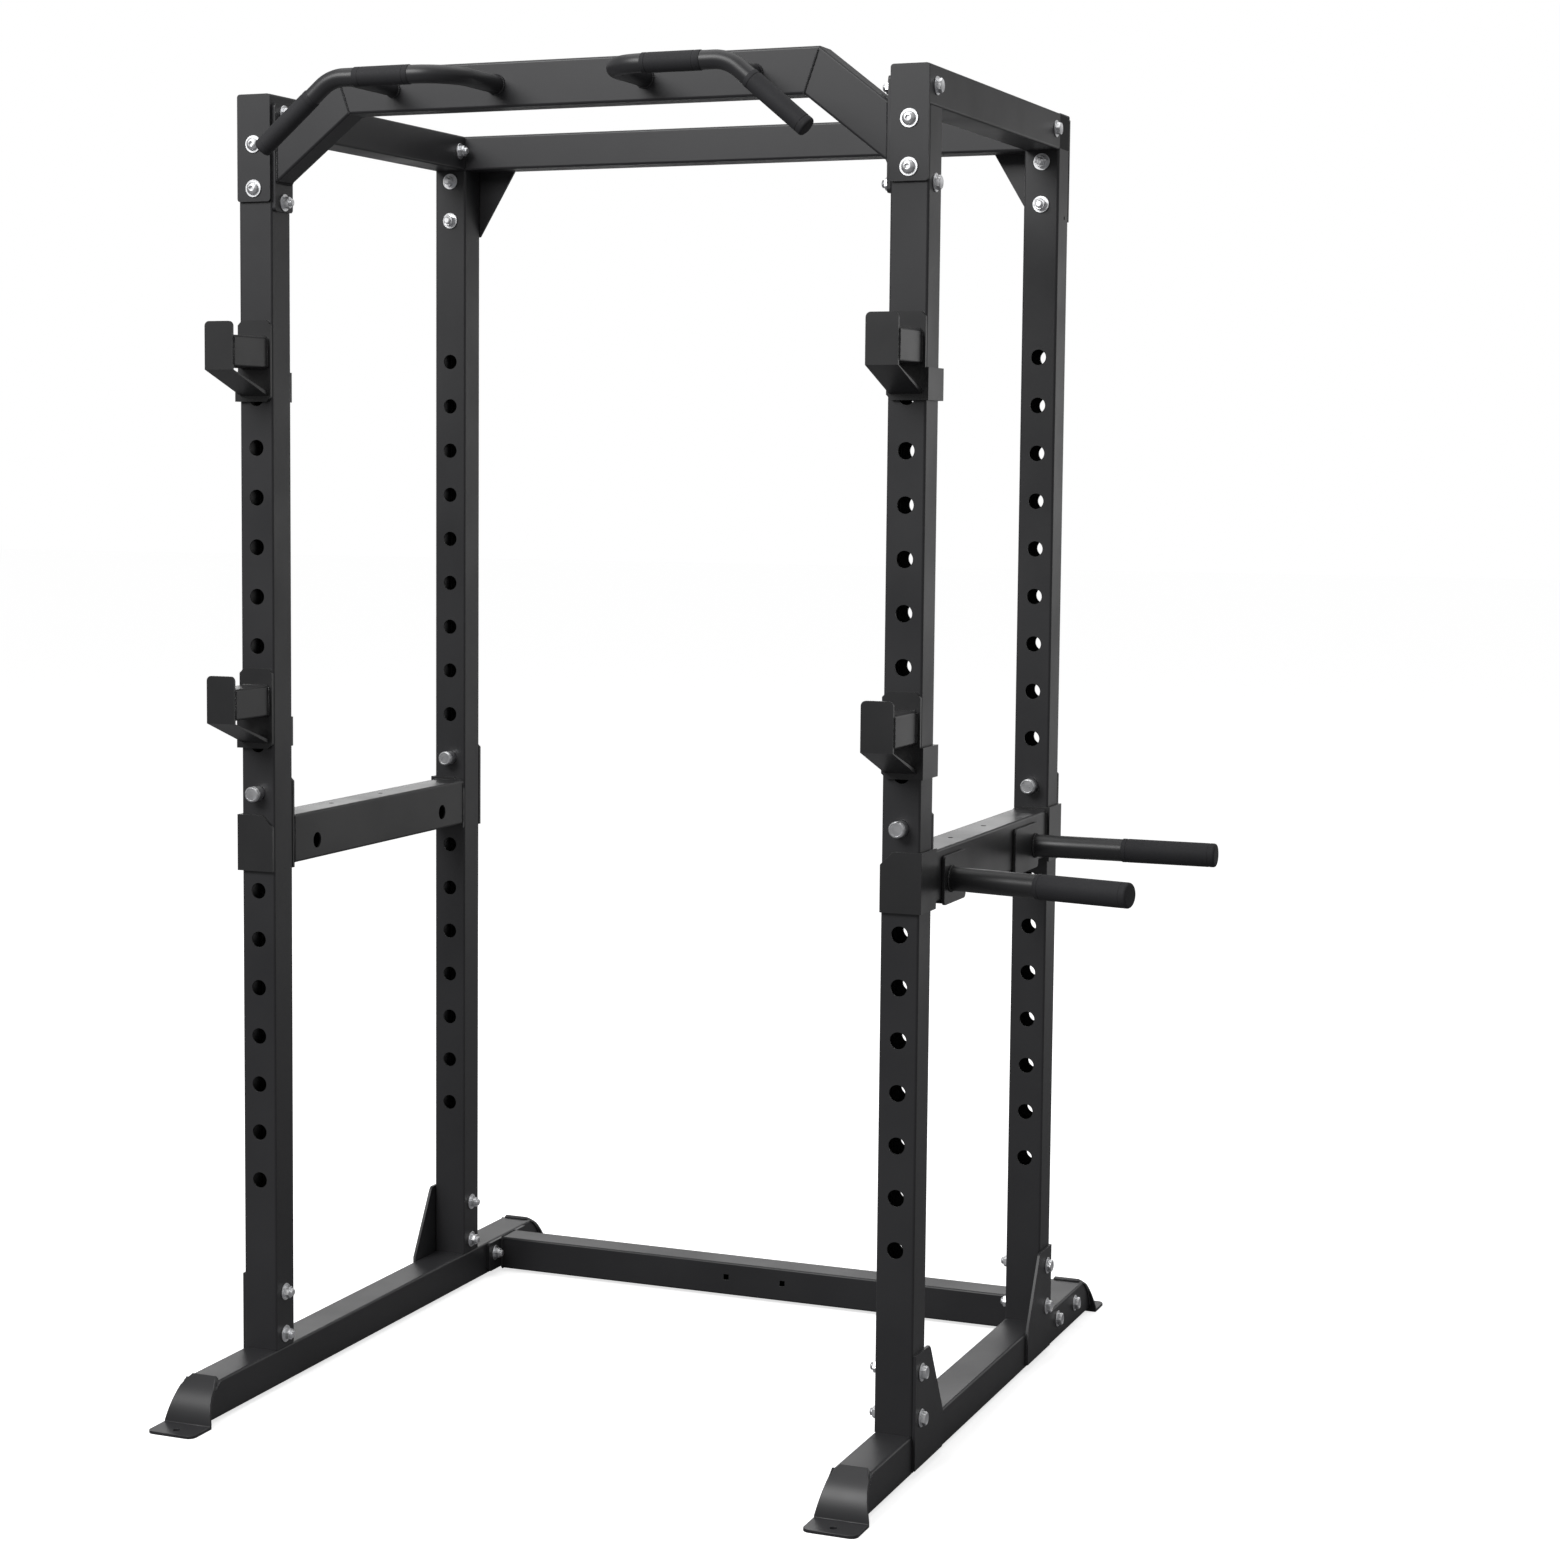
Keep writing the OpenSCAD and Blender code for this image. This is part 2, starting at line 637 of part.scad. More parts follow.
base_rail(LEFT);  // base_rail_left
base_rail(RIGHT);  // base_rail_right
foot(LEFT, -1);  // foot_front_left
foot(RIGHT, -1);  // foot_front_right
foot(LEFT, 1);  // foot_rear_left
foot(RIGHT, 1);  // foot_rear_right
lug(LEFT, -1);  // lug_front_left
lug(RIGHT, -1);  // lug_front_right
lug(LEFT, 1);  // lug_rear_left
lug(RIGHT, 1);  // lug_rear_right
rear_base_beam();
base_beam_plate(LEFT);  // base_beam_plate_left
base_beam_plate(RIGHT);  // base_beam_plate_right
upright(LEFT, front_y);  // upright_front_left
upright(RIGHT, front_y);  // upright_front_right
upright(LEFT, rear_y);  // upright_rear_left
upright(RIGHT, rear_y);  // upright_rear_right
top_rail(LEFT);  // top_rail_left
top_rail(RIGHT);  // top_rail_right
top_plate(LEFT);  // top_plate_left
top_plate(RIGHT);  // top_plate_right
rear_top_beam();
rear_gusset(LEFT);  // rear_gusset_left
rear_gusset(RIGHT);  // rear_gusset_right
beam_end_caps();
pullup_beam();
pullup_arm(LEFT);  // pullup_arm_left
pullup_arm(RIGHT);  // pullup_arm_right
pullup_flange(LEFT);  // pullup_flange_left
pullup_flange(RIGHT);  // pullup_flange_right
pullup_handle(LEFT);  // pullup_handle_left
pullup_handle(RIGHT);  // pullup_handle_right
pullup_grips();
frame_bolts();
frame_washers();
frame_nuts();
jhook(LEFT, upper_hook_hole);  // jhook_upper_left
jhook_pin(LEFT, upper_hook_hole);  // jhook_upper_left_pin
jhook(RIGHT, upper_hook_hole);  // jhook_upper_right
jhook_pin(RIGHT, upper_hook_hole);  // jhook_upper_right_pin
jhook(LEFT, lower_hook_hole);  // jhook_lower_left
jhook_pin(LEFT, lower_hook_hole);  // jhook_lower_left_pin
jhook(RIGHT, lower_hook_hole);  // jhook_lower_right
jhook_pin(RIGHT, lower_hook_hole);  // jhook_lower_right_pin
safety_bar(LEFT);  // safety_left_bar
clip(LEFT, front_face);  // safety_left_front_bracket
clip(LEFT, rear_y - tube / 2);  // safety_left_rear_bracket
safety_pins(LEFT);  // safety_left_pins
safety_bar(RIGHT);  // safety_right_bar
clip(RIGHT, front_face);  // safety_right_front_bracket
clip(RIGHT, rear_y - tube / 2);  // safety_right_rear_bracket
safety_pins(RIGHT);  // safety_right_pins
dip_plate(dip_y[0], dip_edges[0]);  // dip_front_plate
dip_tube(dip_y[0], dip_toe);  // dip_front_tube
dip_grip(dip_y[0], dip_toe);  // dip_front_grip
dip_plate(dip_y[1], dip_edges[1]);  // dip_rear_plate
dip_tube(dip_y[1], 0);  // dip_rear_tube
dip_grip(dip_y[1], 0);  // dip_rear_grip
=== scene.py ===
# %% [markdown]
# # A power cage, dressed around its CAD frame
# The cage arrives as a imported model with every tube, plate and bolt in its right place.
# This lesson keeps those places and makes the surfaces believable: rounded rims, weld
# beads, real bolt heads, hand grips and powder coat. Each step says what the thing is on
# a real cage, how it could be made, and why it is made this way here.

import json
import math

import bmesh
import bpy
from mathutils import Matrix, Vector


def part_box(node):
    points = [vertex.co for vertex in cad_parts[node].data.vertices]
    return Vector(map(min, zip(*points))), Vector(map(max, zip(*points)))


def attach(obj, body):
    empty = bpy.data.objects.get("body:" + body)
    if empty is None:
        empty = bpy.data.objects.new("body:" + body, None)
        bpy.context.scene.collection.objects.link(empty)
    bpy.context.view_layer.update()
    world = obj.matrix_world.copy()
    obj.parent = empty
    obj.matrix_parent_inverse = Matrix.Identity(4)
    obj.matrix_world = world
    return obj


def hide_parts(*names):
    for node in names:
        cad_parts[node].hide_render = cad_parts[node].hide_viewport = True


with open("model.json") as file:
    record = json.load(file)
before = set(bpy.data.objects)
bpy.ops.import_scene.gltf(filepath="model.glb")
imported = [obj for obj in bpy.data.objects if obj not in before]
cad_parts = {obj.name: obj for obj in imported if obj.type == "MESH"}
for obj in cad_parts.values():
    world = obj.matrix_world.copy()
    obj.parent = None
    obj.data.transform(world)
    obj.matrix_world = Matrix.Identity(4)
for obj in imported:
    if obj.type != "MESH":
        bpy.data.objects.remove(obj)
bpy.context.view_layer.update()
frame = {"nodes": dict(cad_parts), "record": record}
record = frame["record"]
body_of_node = {n: b for b, nodes in record["behaviour"]["bodies"].items() for n in nodes}
slot_of_node = {s["node"]: s["material_slot"] for s in record["subparts"]}

# %% [markdown]
# ## Camera
# A long lens from the right of the front, a little above mid height, keeps the uprights
# nearly parallel. The camera could be aimed with a Track To constraint, but a matrix made
# from its turn, tilt and roll is exact and has nothing to go wrong. A small lens shift
# frames the cage without turning the camera, so the uprights don't lean.

# %% Place the camera
CAMERA_AT = Vector((2.0023, -4.7517, 1.5282))
TURN, TILT, ROLL = (math.radians(a) for a in (23.209, 5.052, 0.363))
LENS_MM = 71.3
SHIFT_X, SHIFT_Y = 0.0859, -0.0277

look = Vector((-math.sin(TURN) * math.cos(TILT), math.cos(TURN) * math.cos(TILT), -math.sin(TILT)))
level_right = look.cross(Vector((0, 0, 1))).normalized()
level_up = level_right.cross(look)
right = level_right * math.cos(ROLL) + level_up * math.sin(ROLL)
up = level_up * math.cos(ROLL) - level_right * math.sin(ROLL)

camera_data = bpy.data.cameras.new("camera")
camera_data.lens = LENS_MM
camera_data.shift_x = SHIFT_X
camera_data.shift_y = SHIFT_Y
camera = bpy.data.objects.new("camera", camera_data)
camera.matrix_world = Matrix.Translation(CAMERA_AT) @ Matrix((right, up, -look)).transposed().to_4x4()
bpy.context.scene.collection.objects.link(camera)
bpy.context.scene.camera = camera
print("camera at", tuple(CAMERA_AT), "lens", camera_data.lens, "mm")

# %% [markdown]
# ## Floor and light
# Black powder coat shows almost nothing of its own colour: what is seen is what it
# reflects. So the room and the floor matter as much as the lamps. If they were white all
# round, the coat would turn grey. Both therefore mix two shaders by the kind of ray: the
# camera sees a pale floor and a white room, and every other ray meets darker ones. Four
# big soft lamps do the rest. One high in front lights the front faces, one behind on the
# right, low, and one behind on the left, higher, light the side faces and the rear, and
# one overhead lights the tops.

# %% Lay the floor
FLOOR_HALF = 40.0
FLOOR_BOUNCE = (0.22, 0.22, 0.225, 1)
WHITE = (1, 1, 1, 1)


def add_object(name, mesh):
    made = bpy.data.objects.new(name, mesh)
    bpy.context.scene.collection.objects.link(made)
    return made


def node_of(tree, kind, **settings):
    node = tree.nodes.new(kind)
    for key, value in settings.items():
        setattr(node, key, value)
    return node


def set_inputs(node, values):
    for label, value in values.items():
        node.inputs[label].default_value = value


def split_by_ray(tree, seen, unseen, output):
    """Gives one shader to the camera and another to every other ray."""
    by_ray = node_of(tree, "ShaderNodeMixShader")
    light_path = node_of(tree, "ShaderNodeLightPath")
    tree.links.new(light_path.outputs["Is Camera Ray"], by_ray.inputs["Fac"])
    tree.links.new(unseen, by_ray.inputs[1])
    tree.links.new(seen, by_ray.inputs[2])
    tree.links.new(by_ray.outputs["Shader"], output)


corners = [(x * FLOOR_HALF, y * FLOOR_HALF, 0) for x, y in ((-1, -1), (1, -1), (1, 1), (-1, 1))]
floor_mesh = bpy.data.meshes.new("floor")
floor_mesh.from_pydata(corners, [], [(0, 1, 2, 3)])
floor = add_object("studio_floor", floor_mesh)
floor_paint = bpy.data.materials.new("pale_floor")
floor_paint.use_nodes = True
tree = floor_paint.node_tree
seen = tree.nodes["Principled BSDF"]
set_inputs(seen, {"Base Color": (0.82, 0.82, 0.82, 1), "Roughness": 0.9, "Specular IOR Level": 0.1,
                  "Emission Color": WHITE, "Emission Strength": 0.72})
bounced = node_of(tree, "ShaderNodeBsdfDiffuse")
set_inputs(bounced, {"Color": FLOOR_BOUNCE})
split_by_ray(tree, seen.outputs["BSDF"], bounced.outputs["BSDF"],
             tree.nodes["Material Output"].inputs["Surface"])
floor_mesh.materials.append(floor_paint)
print("floor", 2 * FLOOR_HALF, "m across")

# %% Light the room
ROOM_LIGHT = 0.33
# Each lamp: where it hangs, what it points at, width and height in metres, watts.
SOFT_LIGHTS = {
    "front_high": ((-1.7, -4.6, 4.6), (0.0, 0.0, 1.9), 3.6, 2.4, 250),
    "right_back": ((3.2, 4.4, 0.9), (0.5, 0.0, 0.7), 4.2, 3.0, 22),
    "left_back": ((-1.9, 4.9, 2.3), (0.0, 0.2, 0.9), 4.4, 1.4, 38),
    "overhead": ((0.0, 0.4, 5.2), (0.0, 0.2, 0.0), 4.5, 4.5, 70),
}
world = bpy.data.worlds.new("pale_room")
bpy.context.scene.world = world
world.use_nodes = True
tree = world.node_tree
lighting = tree.nodes["Background"]
set_inputs(lighting, {"Color": WHITE, "Strength": ROOM_LIGHT})
backdrop = node_of(tree, "ShaderNodeBackground")
set_inputs(backdrop, {"Color": WHITE})
split_by_ray(tree, backdrop.outputs["Background"], lighting.outputs["Background"],
             tree.nodes["World Output"].inputs["Surface"])
bpy.context.scene.view_settings.view_transform = "Standard"

for name, (at, target, width, height, watts) in SOFT_LIGHTS.items():
    data = bpy.data.lights.new(name, "AREA")
    data.shape = "RECTANGLE"
    data.size = width
    data.size_y = height
    data.energy = watts
    lamp = bpy.data.objects.new(name, data)
    lamp.location = at
    lamp.visible_camera = False
    lamp.rotation_euler = (Vector(target) - Vector(at)).to_track_quat("-Z", "Y").to_euler()
    bpy.context.scene.collection.objects.link(lamp)
print(len(SOFT_LIGHTS), "soft lights")

# %% [markdown]
# ## Shader groups
# Three effects turn up on more than one finish: the fine bumps of powder coat, the wear
# along rims, which also paints a thin highlight on them, and fine rings left by a lathe.
# Each is a node group, built once, with named inputs, and each material sets its own
# values. The groups put out masks and heights only; the shader itself stays in the material.

# %% Build the effect groups
def new_group(name, inputs, outputs):
    group = bpy.data.node_groups.new(name, "ShaderNodeTree")
    for label, value in inputs:
        group.interface.new_socket(label, in_out="INPUT", socket_type="NodeSocketFloat").default_value = value
    for label in outputs:
        group.interface.new_socket(label, in_out="OUTPUT", socket_type="NodeSocketFloat")
    return group, node_of(group, "NodeGroupInput"), node_of(group, "NodeGroupOutput")


def feed(tree, socket, value):
    """Sets a socket to a value, or links another node's output to it."""
    if isinstance(value, bpy.types.NodeSocket):
        tree.links.new(value, socket)
    else:
        socket.default_value = value


def math_node(tree, operation, first, second, clamp=False):
    node = node_of(tree, "ShaderNodeMath", operation=operation, use_clamp=clamp)
    feed(tree, node.inputs[0], first)
    feed(tree, node.inputs[1], second)
    return node.outputs[0]


def noise(tree, scale, detail):
    """A soft random pattern that stays fixed to the piece, from 0 to 1."""
    place = node_of(tree, "ShaderNodeTexCoord")
    texture = node_of(tree, "ShaderNodeTexNoise")
    tree.links.new(place.outputs["Object"], texture.inputs["Vector"])
    feed(tree, texture.inputs["Scale"], scale)
    feed(tree, texture.inputs["Detail"], detail)
    return texture.outputs["Fac"]


def smooth_step(tree, value, low, high):
    ramp = node_of(tree, "ShaderNodeMapRange", interpolation_type="SMOOTHSTEP")
    set_inputs(ramp, {"From Min": low, "From Max": high})
    tree.links.new(value, ramp.inputs["Value"])
    return ramp.outputs["Result"]


coat_group, ins, outs = new_group("coat_grain", [("Grain scale", 900.0), ("Mottle scale", 7.0)],
                                  ["Height", "Mottle"])
grain = noise(coat_group, ins.outputs["Grain scale"], detail=2.0)
mottle = noise(coat_group, ins.outputs["Mottle scale"], detail=4.0)
coat_group.links.new(grain, outs.inputs["Height"])
coat_group.links.new(mottle, outs.inputs["Mottle"])

# Rim mask: bevelled rims in random patches, which the coat turns primer grey. It stands for rubbed wear and
# is also a painted highlight along the edges.
rim_wear_and_highlight_group, ins, outs = new_group("rim_wear", [("Amount", 0.5), ("Patch scale", 40.0)], ["Mask"])
rim = node_of(rim_wear_and_highlight_group, "ShaderNodeAttribute", attribute_name="rim")
uneven = noise(rim_wear_and_highlight_group, ins.outputs["Patch scale"], detail=5.0)
patches = smooth_step(rim_wear_and_highlight_group, uneven, low=0.45, high=0.7)
worn_and_lit = math_node(rim_wear_and_highlight_group, "MULTIPLY", rim.outputs["Fac"], patches)
mask = math_node(rim_wear_and_highlight_group, "MULTIPLY", worn_and_lit, ins.outputs["Amount"], clamp=True)
rim_wear_and_highlight_group.links.new(mask, outs.inputs["Mask"])

rings_group, ins, outs = new_group("lathe_rings", [("Ring scale", 500.0)], ["Height"])
place = node_of(rings_group, "ShaderNodeTexCoord")
waves = node_of(rings_group, "ShaderNodeTexWave", wave_type="BANDS", bands_direction="Y")
rings_group.links.new(place.outputs["Object"], waves.inputs["Vector"])
rings_group.links.new(ins.outputs["Ring scale"], waves.inputs["Scale"])
rings_group.links.new(waves.outputs["Fac"], outs.inputs["Height"])
print("groups:", coat_group.name, rim_wear_and_highlight_group.name, rings_group.name)

# %% [markdown]
# ## Finishes
# Powder coat is a thin, hard plastic skin baked on to steel: near black, with a low
# sheen, a fine orange peel, and a lighter grey on patches of the rims. That grey stands for
# primer where a rim is rubbed, and it also paints a thin highlight along the edges. The
# frame and the accessories are coated apart, so each gets its own values. Bolts are
# zinc plated, pins are turned and chromed, grips are matt foam rubber.

# %% Mix the finishes
# Primer grey, also used as a painted highlight on the rims.
PRIMER_AND_HIGHLIGHT_GREY = (0.16, 0.16, 0.165)
NOISE_LOW, NOISE_HIGH = 0.3, 0.7


def group_node(tree, group, **values):
    node = node_of(tree, "ShaderNodeGroup", node_tree=group)
    for label, value in values.items():
        node.inputs[label.replace("_", " ")].default_value = value
    return node


def colour_mix(tree, factor, first, second):
    mix = node_of(tree, "ShaderNodeMix", data_type="RGBA")
    for label, value in (("A", first), ("B", second)):
        socket = next(s for s in mix.inputs if s.name == label and s.type == "RGBA")
        feed(tree, socket, (*value, 1) if isinstance(value, tuple) else value)
    tree.links.new(factor, mix.inputs[0])
    return next(s for s in mix.outputs if s.type == "RGBA")


def new_finish(name, metallic=0.0, specular=0.5):
    finish = bpy.data.materials.new(name)
    finish.use_nodes = True
    shader = finish.node_tree.nodes["Principled BSDF"]
    set_inputs(shader, {"Metallic": metallic, "Specular IOR Level": specular})
    return finish, finish.node_tree, shader


def bump(tree, shader, height, strength, depth):
    node = node_of(tree, "ShaderNodeBump")
    set_inputs(node, {"Strength": strength, "Distance": depth})
    tree.links.new(height, node.inputs["Height"])
    tree.links.new(node.outputs["Normal"], shader.inputs["Normal"])


def spread(tree, value, low, high):
    """Turns a noise, which seldom leaves its middle part, into a range of roughness."""
    ramp = node_of(tree, "ShaderNodeMapRange")
    set_inputs(ramp, {"From Min": NOISE_LOW, "From Max": NOISE_HIGH, "To Min": low, "To Max": high})
    tree.links.new(value, ramp.inputs["Value"])
    return ramp.outputs["Result"]


def powder_coat(name, dark, light, roughness, wear_and_highlight, grain):
    finish, tree, shader = new_finish(name)
    coat = group_node(tree, coat_group, Grain_scale=grain, Mottle_scale=6.0)
    rubbed_and_lit = group_node(tree, rim_wear_and_highlight_group, Amount=wear_and_highlight, Patch_scale=35.0)
    shade = colour_mix(tree, coat.outputs["Mottle"], dark, light)
    # The rims turn primer grey in patches: partly rubbed wear, partly a painted edge highlight.
    colour = colour_mix(tree, rubbed_and_lit.outputs["Mask"], shade, PRIMER_AND_HIGHLIGHT_GREY)
    tree.links.new(colour, shader.inputs["Base Color"])
    tree.links.new(spread(tree, coat.outputs["Mottle"], *roughness), shader.inputs["Roughness"])
    bump(tree, shader, coat.outputs["Height"], strength=0.25, depth=0.00012)
    return finish


def plated(name, dark, light, roughness, ring_scale):
    finish, tree, shader = new_finish(name, metallic=1.0)
    mottle = noise(tree, scale=60.0, detail=3.0)
    tree.links.new(colour_mix(tree, mottle, dark, light), shader.inputs["Base Color"])
    tree.links.new(spread(tree, mottle, *roughness), shader.inputs["Roughness"])
    rings = group_node(tree, rings_group, Ring_scale=ring_scale)
    bump(tree, shader, rings.outputs["Height"], strength=0.15, depth=0.00005)
    return finish


def matt_rubber(name, dark, light, grain):
    finish, tree, shader = new_finish(name, specular=0.35)
    coat = group_node(tree, coat_group, Grain_scale=grain, Mottle_scale=14.0)
    tree.links.new(colour_mix(tree, coat.outputs["Mottle"], dark, light), shader.inputs["Base Color"])
    tree.links.new(spread(tree, coat.outputs["Height"], low=0.62, high=0.85), shader.inputs["Roughness"])
    bump(tree, shader, coat.outputs["Height"], strength=0.6, depth=0.0003)
    return finish


FINISHES = {
    "coated_steel_frame": powder_coat(
        "frame_coat", dark=(0.020, 0.020, 0.022), light=(0.028, 0.028, 0.030),
        roughness=(0.36, 0.46), wear_and_highlight=0.5, grain=900.0),
    "coated_steel_accessory": powder_coat(
        "accessory_coat", dark=(0.017, 0.017, 0.018), light=(0.024, 0.024, 0.025),
        roughness=(0.32, 0.42), wear_and_highlight=0.7, grain=1100.0),
    "zinc_hardware": plated(
        "bright_zinc", dark=(0.84, 0.85, 0.87), light=(0.95, 0.95, 0.96),
        roughness=(0.34, 0.46), ring_scale=900.0),
    "chrome_pin": plated(
        "chromed_pin", dark=(0.78, 0.79, 0.81), light=(0.90, 0.90, 0.91),
        roughness=(0.26, 0.38), ring_scale=700.0),
    "grip_sleeve": matt_rubber(
        "grip_foam", dark=(0.018, 0.018, 0.020), light=(0.028, 0.028, 0.031), grain=1300.0),
    "plastic_cap": matt_rubber(
        "cap_plastic", dark=(0.018, 0.018, 0.019), light=(0.024, 0.024, 0.025), grain=700.0),
}
for node, cad_object in frame["nodes"].items():
    cad_object.data.materials.clear()
    cad_object.data.materials.append(FINISHES[slot_of_node[node]])
print("finishes:", ", ".join(m.name for m in FINISHES.values()))

# %% [markdown]
# ## Steel tubes and plates
# No steel part has a knife edge: a laser-cut plate and a sawn tube are tumbled or
# brushed, and the coat rounds them further. That narrow round is what catches the light
# and draws each part's outline. The parts could be modelled again from nothing, but their
# CAD meshes are already right, so each is copied, its loose triangles are merged into
# clean faces, and its corners are bevelled. The new faces are marked with an attribute,
# which the rim wear and highlight group reads to lighten them in patches: worn primer and a painted
# highlight.

# %% Round the rims of every steel part
SHARP = math.radians(50)
FLAT = math.radians(0.6)
MERGE_GAP = 1e-6
RIM_STEPS = 2
FINE_RIM, BROAD_RIM = 0.0006, 0.0010
BROAD_RIMMED = ("foot", "lug", "jhook", "safety", "dip")
FACE_WEIGHT = 80
ROUND_PARTS = ("pullup_handle", "pullup_grips", "frame_", "dip_front_tube", "dip_rear_tube",
               "dip_front_grip", "dip_rear_grip")


def round_rims(node, rim):
    """A copy of a CAD node with merged faces and rounded corners, in the node's place."""
    mesh = bpy.data.meshes.new(node + ".dressed")
    shape = bmesh.new()
    shape.from_mesh(frame["nodes"][node].data)
    bmesh.ops.remove_doubles(shape, verts=shape.verts, dist=MERGE_GAP)
    bmesh.ops.dissolve_limit(shape, angle_limit=FLAT, verts=shape.verts, edges=shape.edges)
    marked = shape.faces.layers.float.new("rim")
    corners = [e for e in shape.edges if e.is_manifold and e.calc_face_angle() > SHARP]
    rounded = bmesh.ops.bevel(shape, geom=corners, offset=rim, offset_type="OFFSET",
                              segments=RIM_STEPS, profile=0.5, affect="EDGES", clamp_overlap=True)
    for face in rounded["faces"]:
        face[marked] = 1.0
    for face in shape.faces:
        face.smooth = True
    shape.to_mesh(mesh)
    shape.free()
    return mesh


def finish_piece(name, mesh, node):
    """Makes a mesh a piece that stands for a CAD node: its finish, its slot, its body."""
    mesh.materials.clear()
    mesh.materials.append(FINISHES[slot_of_node[node]])
    piece = add_object(name, mesh)
    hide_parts(node)
    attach(piece, body_of_node[node])


def settle_normals(mesh):
    """Keeps flat faces flat in shading and lets only the rims turn."""
    carrier = add_object("carrier", mesh)
    carrier.modifiers.new("weighted", "WEIGHTED_NORMAL").weight = FACE_WEIGHT
    depsgraph = bpy.context.evaluated_depsgraph_get()
    settled = bpy.data.meshes.new_from_object(carrier.evaluated_get(depsgraph),
                                              preserve_all_data_layers=True, depsgraph=depsgraph)
    bpy.data.objects.remove(carrier)
    return settled


steel_nodes = [n for n in frame["nodes"]
               if not n.startswith(ROUND_PARTS) and not n.endswith(("_pin", "_pins"))]
for node in steel_nodes:
    rim_size = BROAD_RIM if node.startswith(BROAD_RIMMED) else FINE_RIM
    finish_piece(node + ".dressed", settle_normals(round_rims(node, rim_size)), node)
print(len(steel_nodes), "steel parts dressed")

# %% [markdown]
# ## Turned parts: grips, caps and pins
# Grips, pins, nuts and bolt heads are all outlines turned about an axis, as on a lathe. A
# Screw modifier could turn them, but a short helper that closes both poles and can also
# cut flats gives clean closed meshes. The foam sleeves stand a little proud of their tubes
# and end in a rounded cap. The pins are turned bar with a bright chamfer and a slightly
# sunken face.

# %% Turn an outline into a mesh
MM = 0.001
TURNED_SHARP = math.radians(32)
HEX_TURN = math.pi / 3


def turned(outline, start=(0, 0, 0), along=(0, 0, 1), sides=40):
    """A closed mesh, turned about a line.

    outline is (distance, radius) in mm from pole to pole. A third number cuts six flats
    that far apart.
    """
    mesh = bpy.data.meshes.new("turned")
    shape = bmesh.new()
    turn = Vector(along).to_track_quat("Z", "Y").to_matrix()
    rings = []
    for distance, radius, *flats in outline:
        ring = []
        for step in range(sides if radius else 1):
            angle = math.tau * step / sides
            reach = radius
            if flats:
                off_middle = (angle + HEX_TURN / 2) % HEX_TURN - HEX_TURN / 2
                reach = min(radius, flats[0] / 2 / math.cos(off_middle))
            point = Vector((reach * math.cos(angle), reach * math.sin(angle), distance))
            ring.append(shape.verts.new(Vector(start) + turn @ (point * MM)))
        rings.append(ring)
    for near, far in zip(rings, rings[1:]):
        for here in range(sides):
            after = (here + 1) % sides
            corners = (near[here % len(near)], near[after % len(near)],
                       far[after % len(far)], far[here % len(far)])
            shape.faces.new(list(dict.fromkeys(corners))).smooth = True
    shape.to_mesh(mesh)
    shape.free()
    mesh.set_sharp_from_angle(angle=TURNED_SHARP)
    return mesh


def joined(name, meshes):
    whole = bpy.data.meshes.new(name)
    shape = bmesh.new()
    for mesh in meshes:
        shape.from_mesh(mesh)
    shape.to_mesh(whole)
    shape.free()
    return whole


print("hexagons turn by", round(math.degrees(HEX_TURN)), "degrees a side")

# %% Turn the grips
# Lengths and depths below the sleeve's surface, in mm, at its mouth, band and open end.
SLEEVE_MOUTH = [(0, 0.9), (0.3, 0.35), (1.0, 0), (7, 0), (7.4, 0.5), (9.2, 0.5), (9.6, 0)]
SLEEVE_BAND = [(12, 0), (11.6, 0.4), (10, 0.4), (9.6, 0)]
SLEEVE_OPEN_END = [(1.0, 0), (0.3, 0.35), (0, 0.9)]
CAP_ROUND = 4.0
CAP_DEGREES = (0, 20, 40, 60, 75, 90)
PULLUP_SLEEVE_RADIUS, DIP_SLEEVE_RADIUS = 15.0, 19.5
INNER_SLEEVE, OUTER_SLEEVE, DIP_SLEEVE = 94, 117, 155
HANDLE_Y, HANDLE_Z = -0.555, 2.110
KNEE_X, KNEE_DROP = 0.325, math.radians(40)
INNER_SLEEVE_X, OUTER_SLEEVE_FROM_KNEE = 0.190, 0.043
DIP_Z, DIP_FACE_X, DIP_SLEEVE_OUT = 0.900, 0.5853, 0.149
# Each dip handle: its place from front to rear, and how far it turns towards the front.
DIP_HANDLES = {"dip_front": (-0.258, math.radians(13)), "dip_rear": (0.200, 0.0)}


def sleeve_outline(radius, length, closed):
    """A foam sleeve: a rounded mouth, a moulded band, and a round cap if closed."""
    outline = [(0, 0)]
    outline += [(along, radius - deep) for along, deep in SLEEVE_MOUTH]
    outline += [(length - back, radius - deep) for back, deep in SLEEVE_BAND]
    if closed:
        for turn in (math.radians(d) for d in CAP_DEGREES):
            outline.append((length - CAP_ROUND + CAP_ROUND * math.sin(turn),
                            radius - CAP_ROUND + CAP_ROUND * math.cos(turn)))
    else:
        outline += [(length - back, radius - deep) for back, deep in SLEEVE_OPEN_END]
    return outline + [(length, 0)]


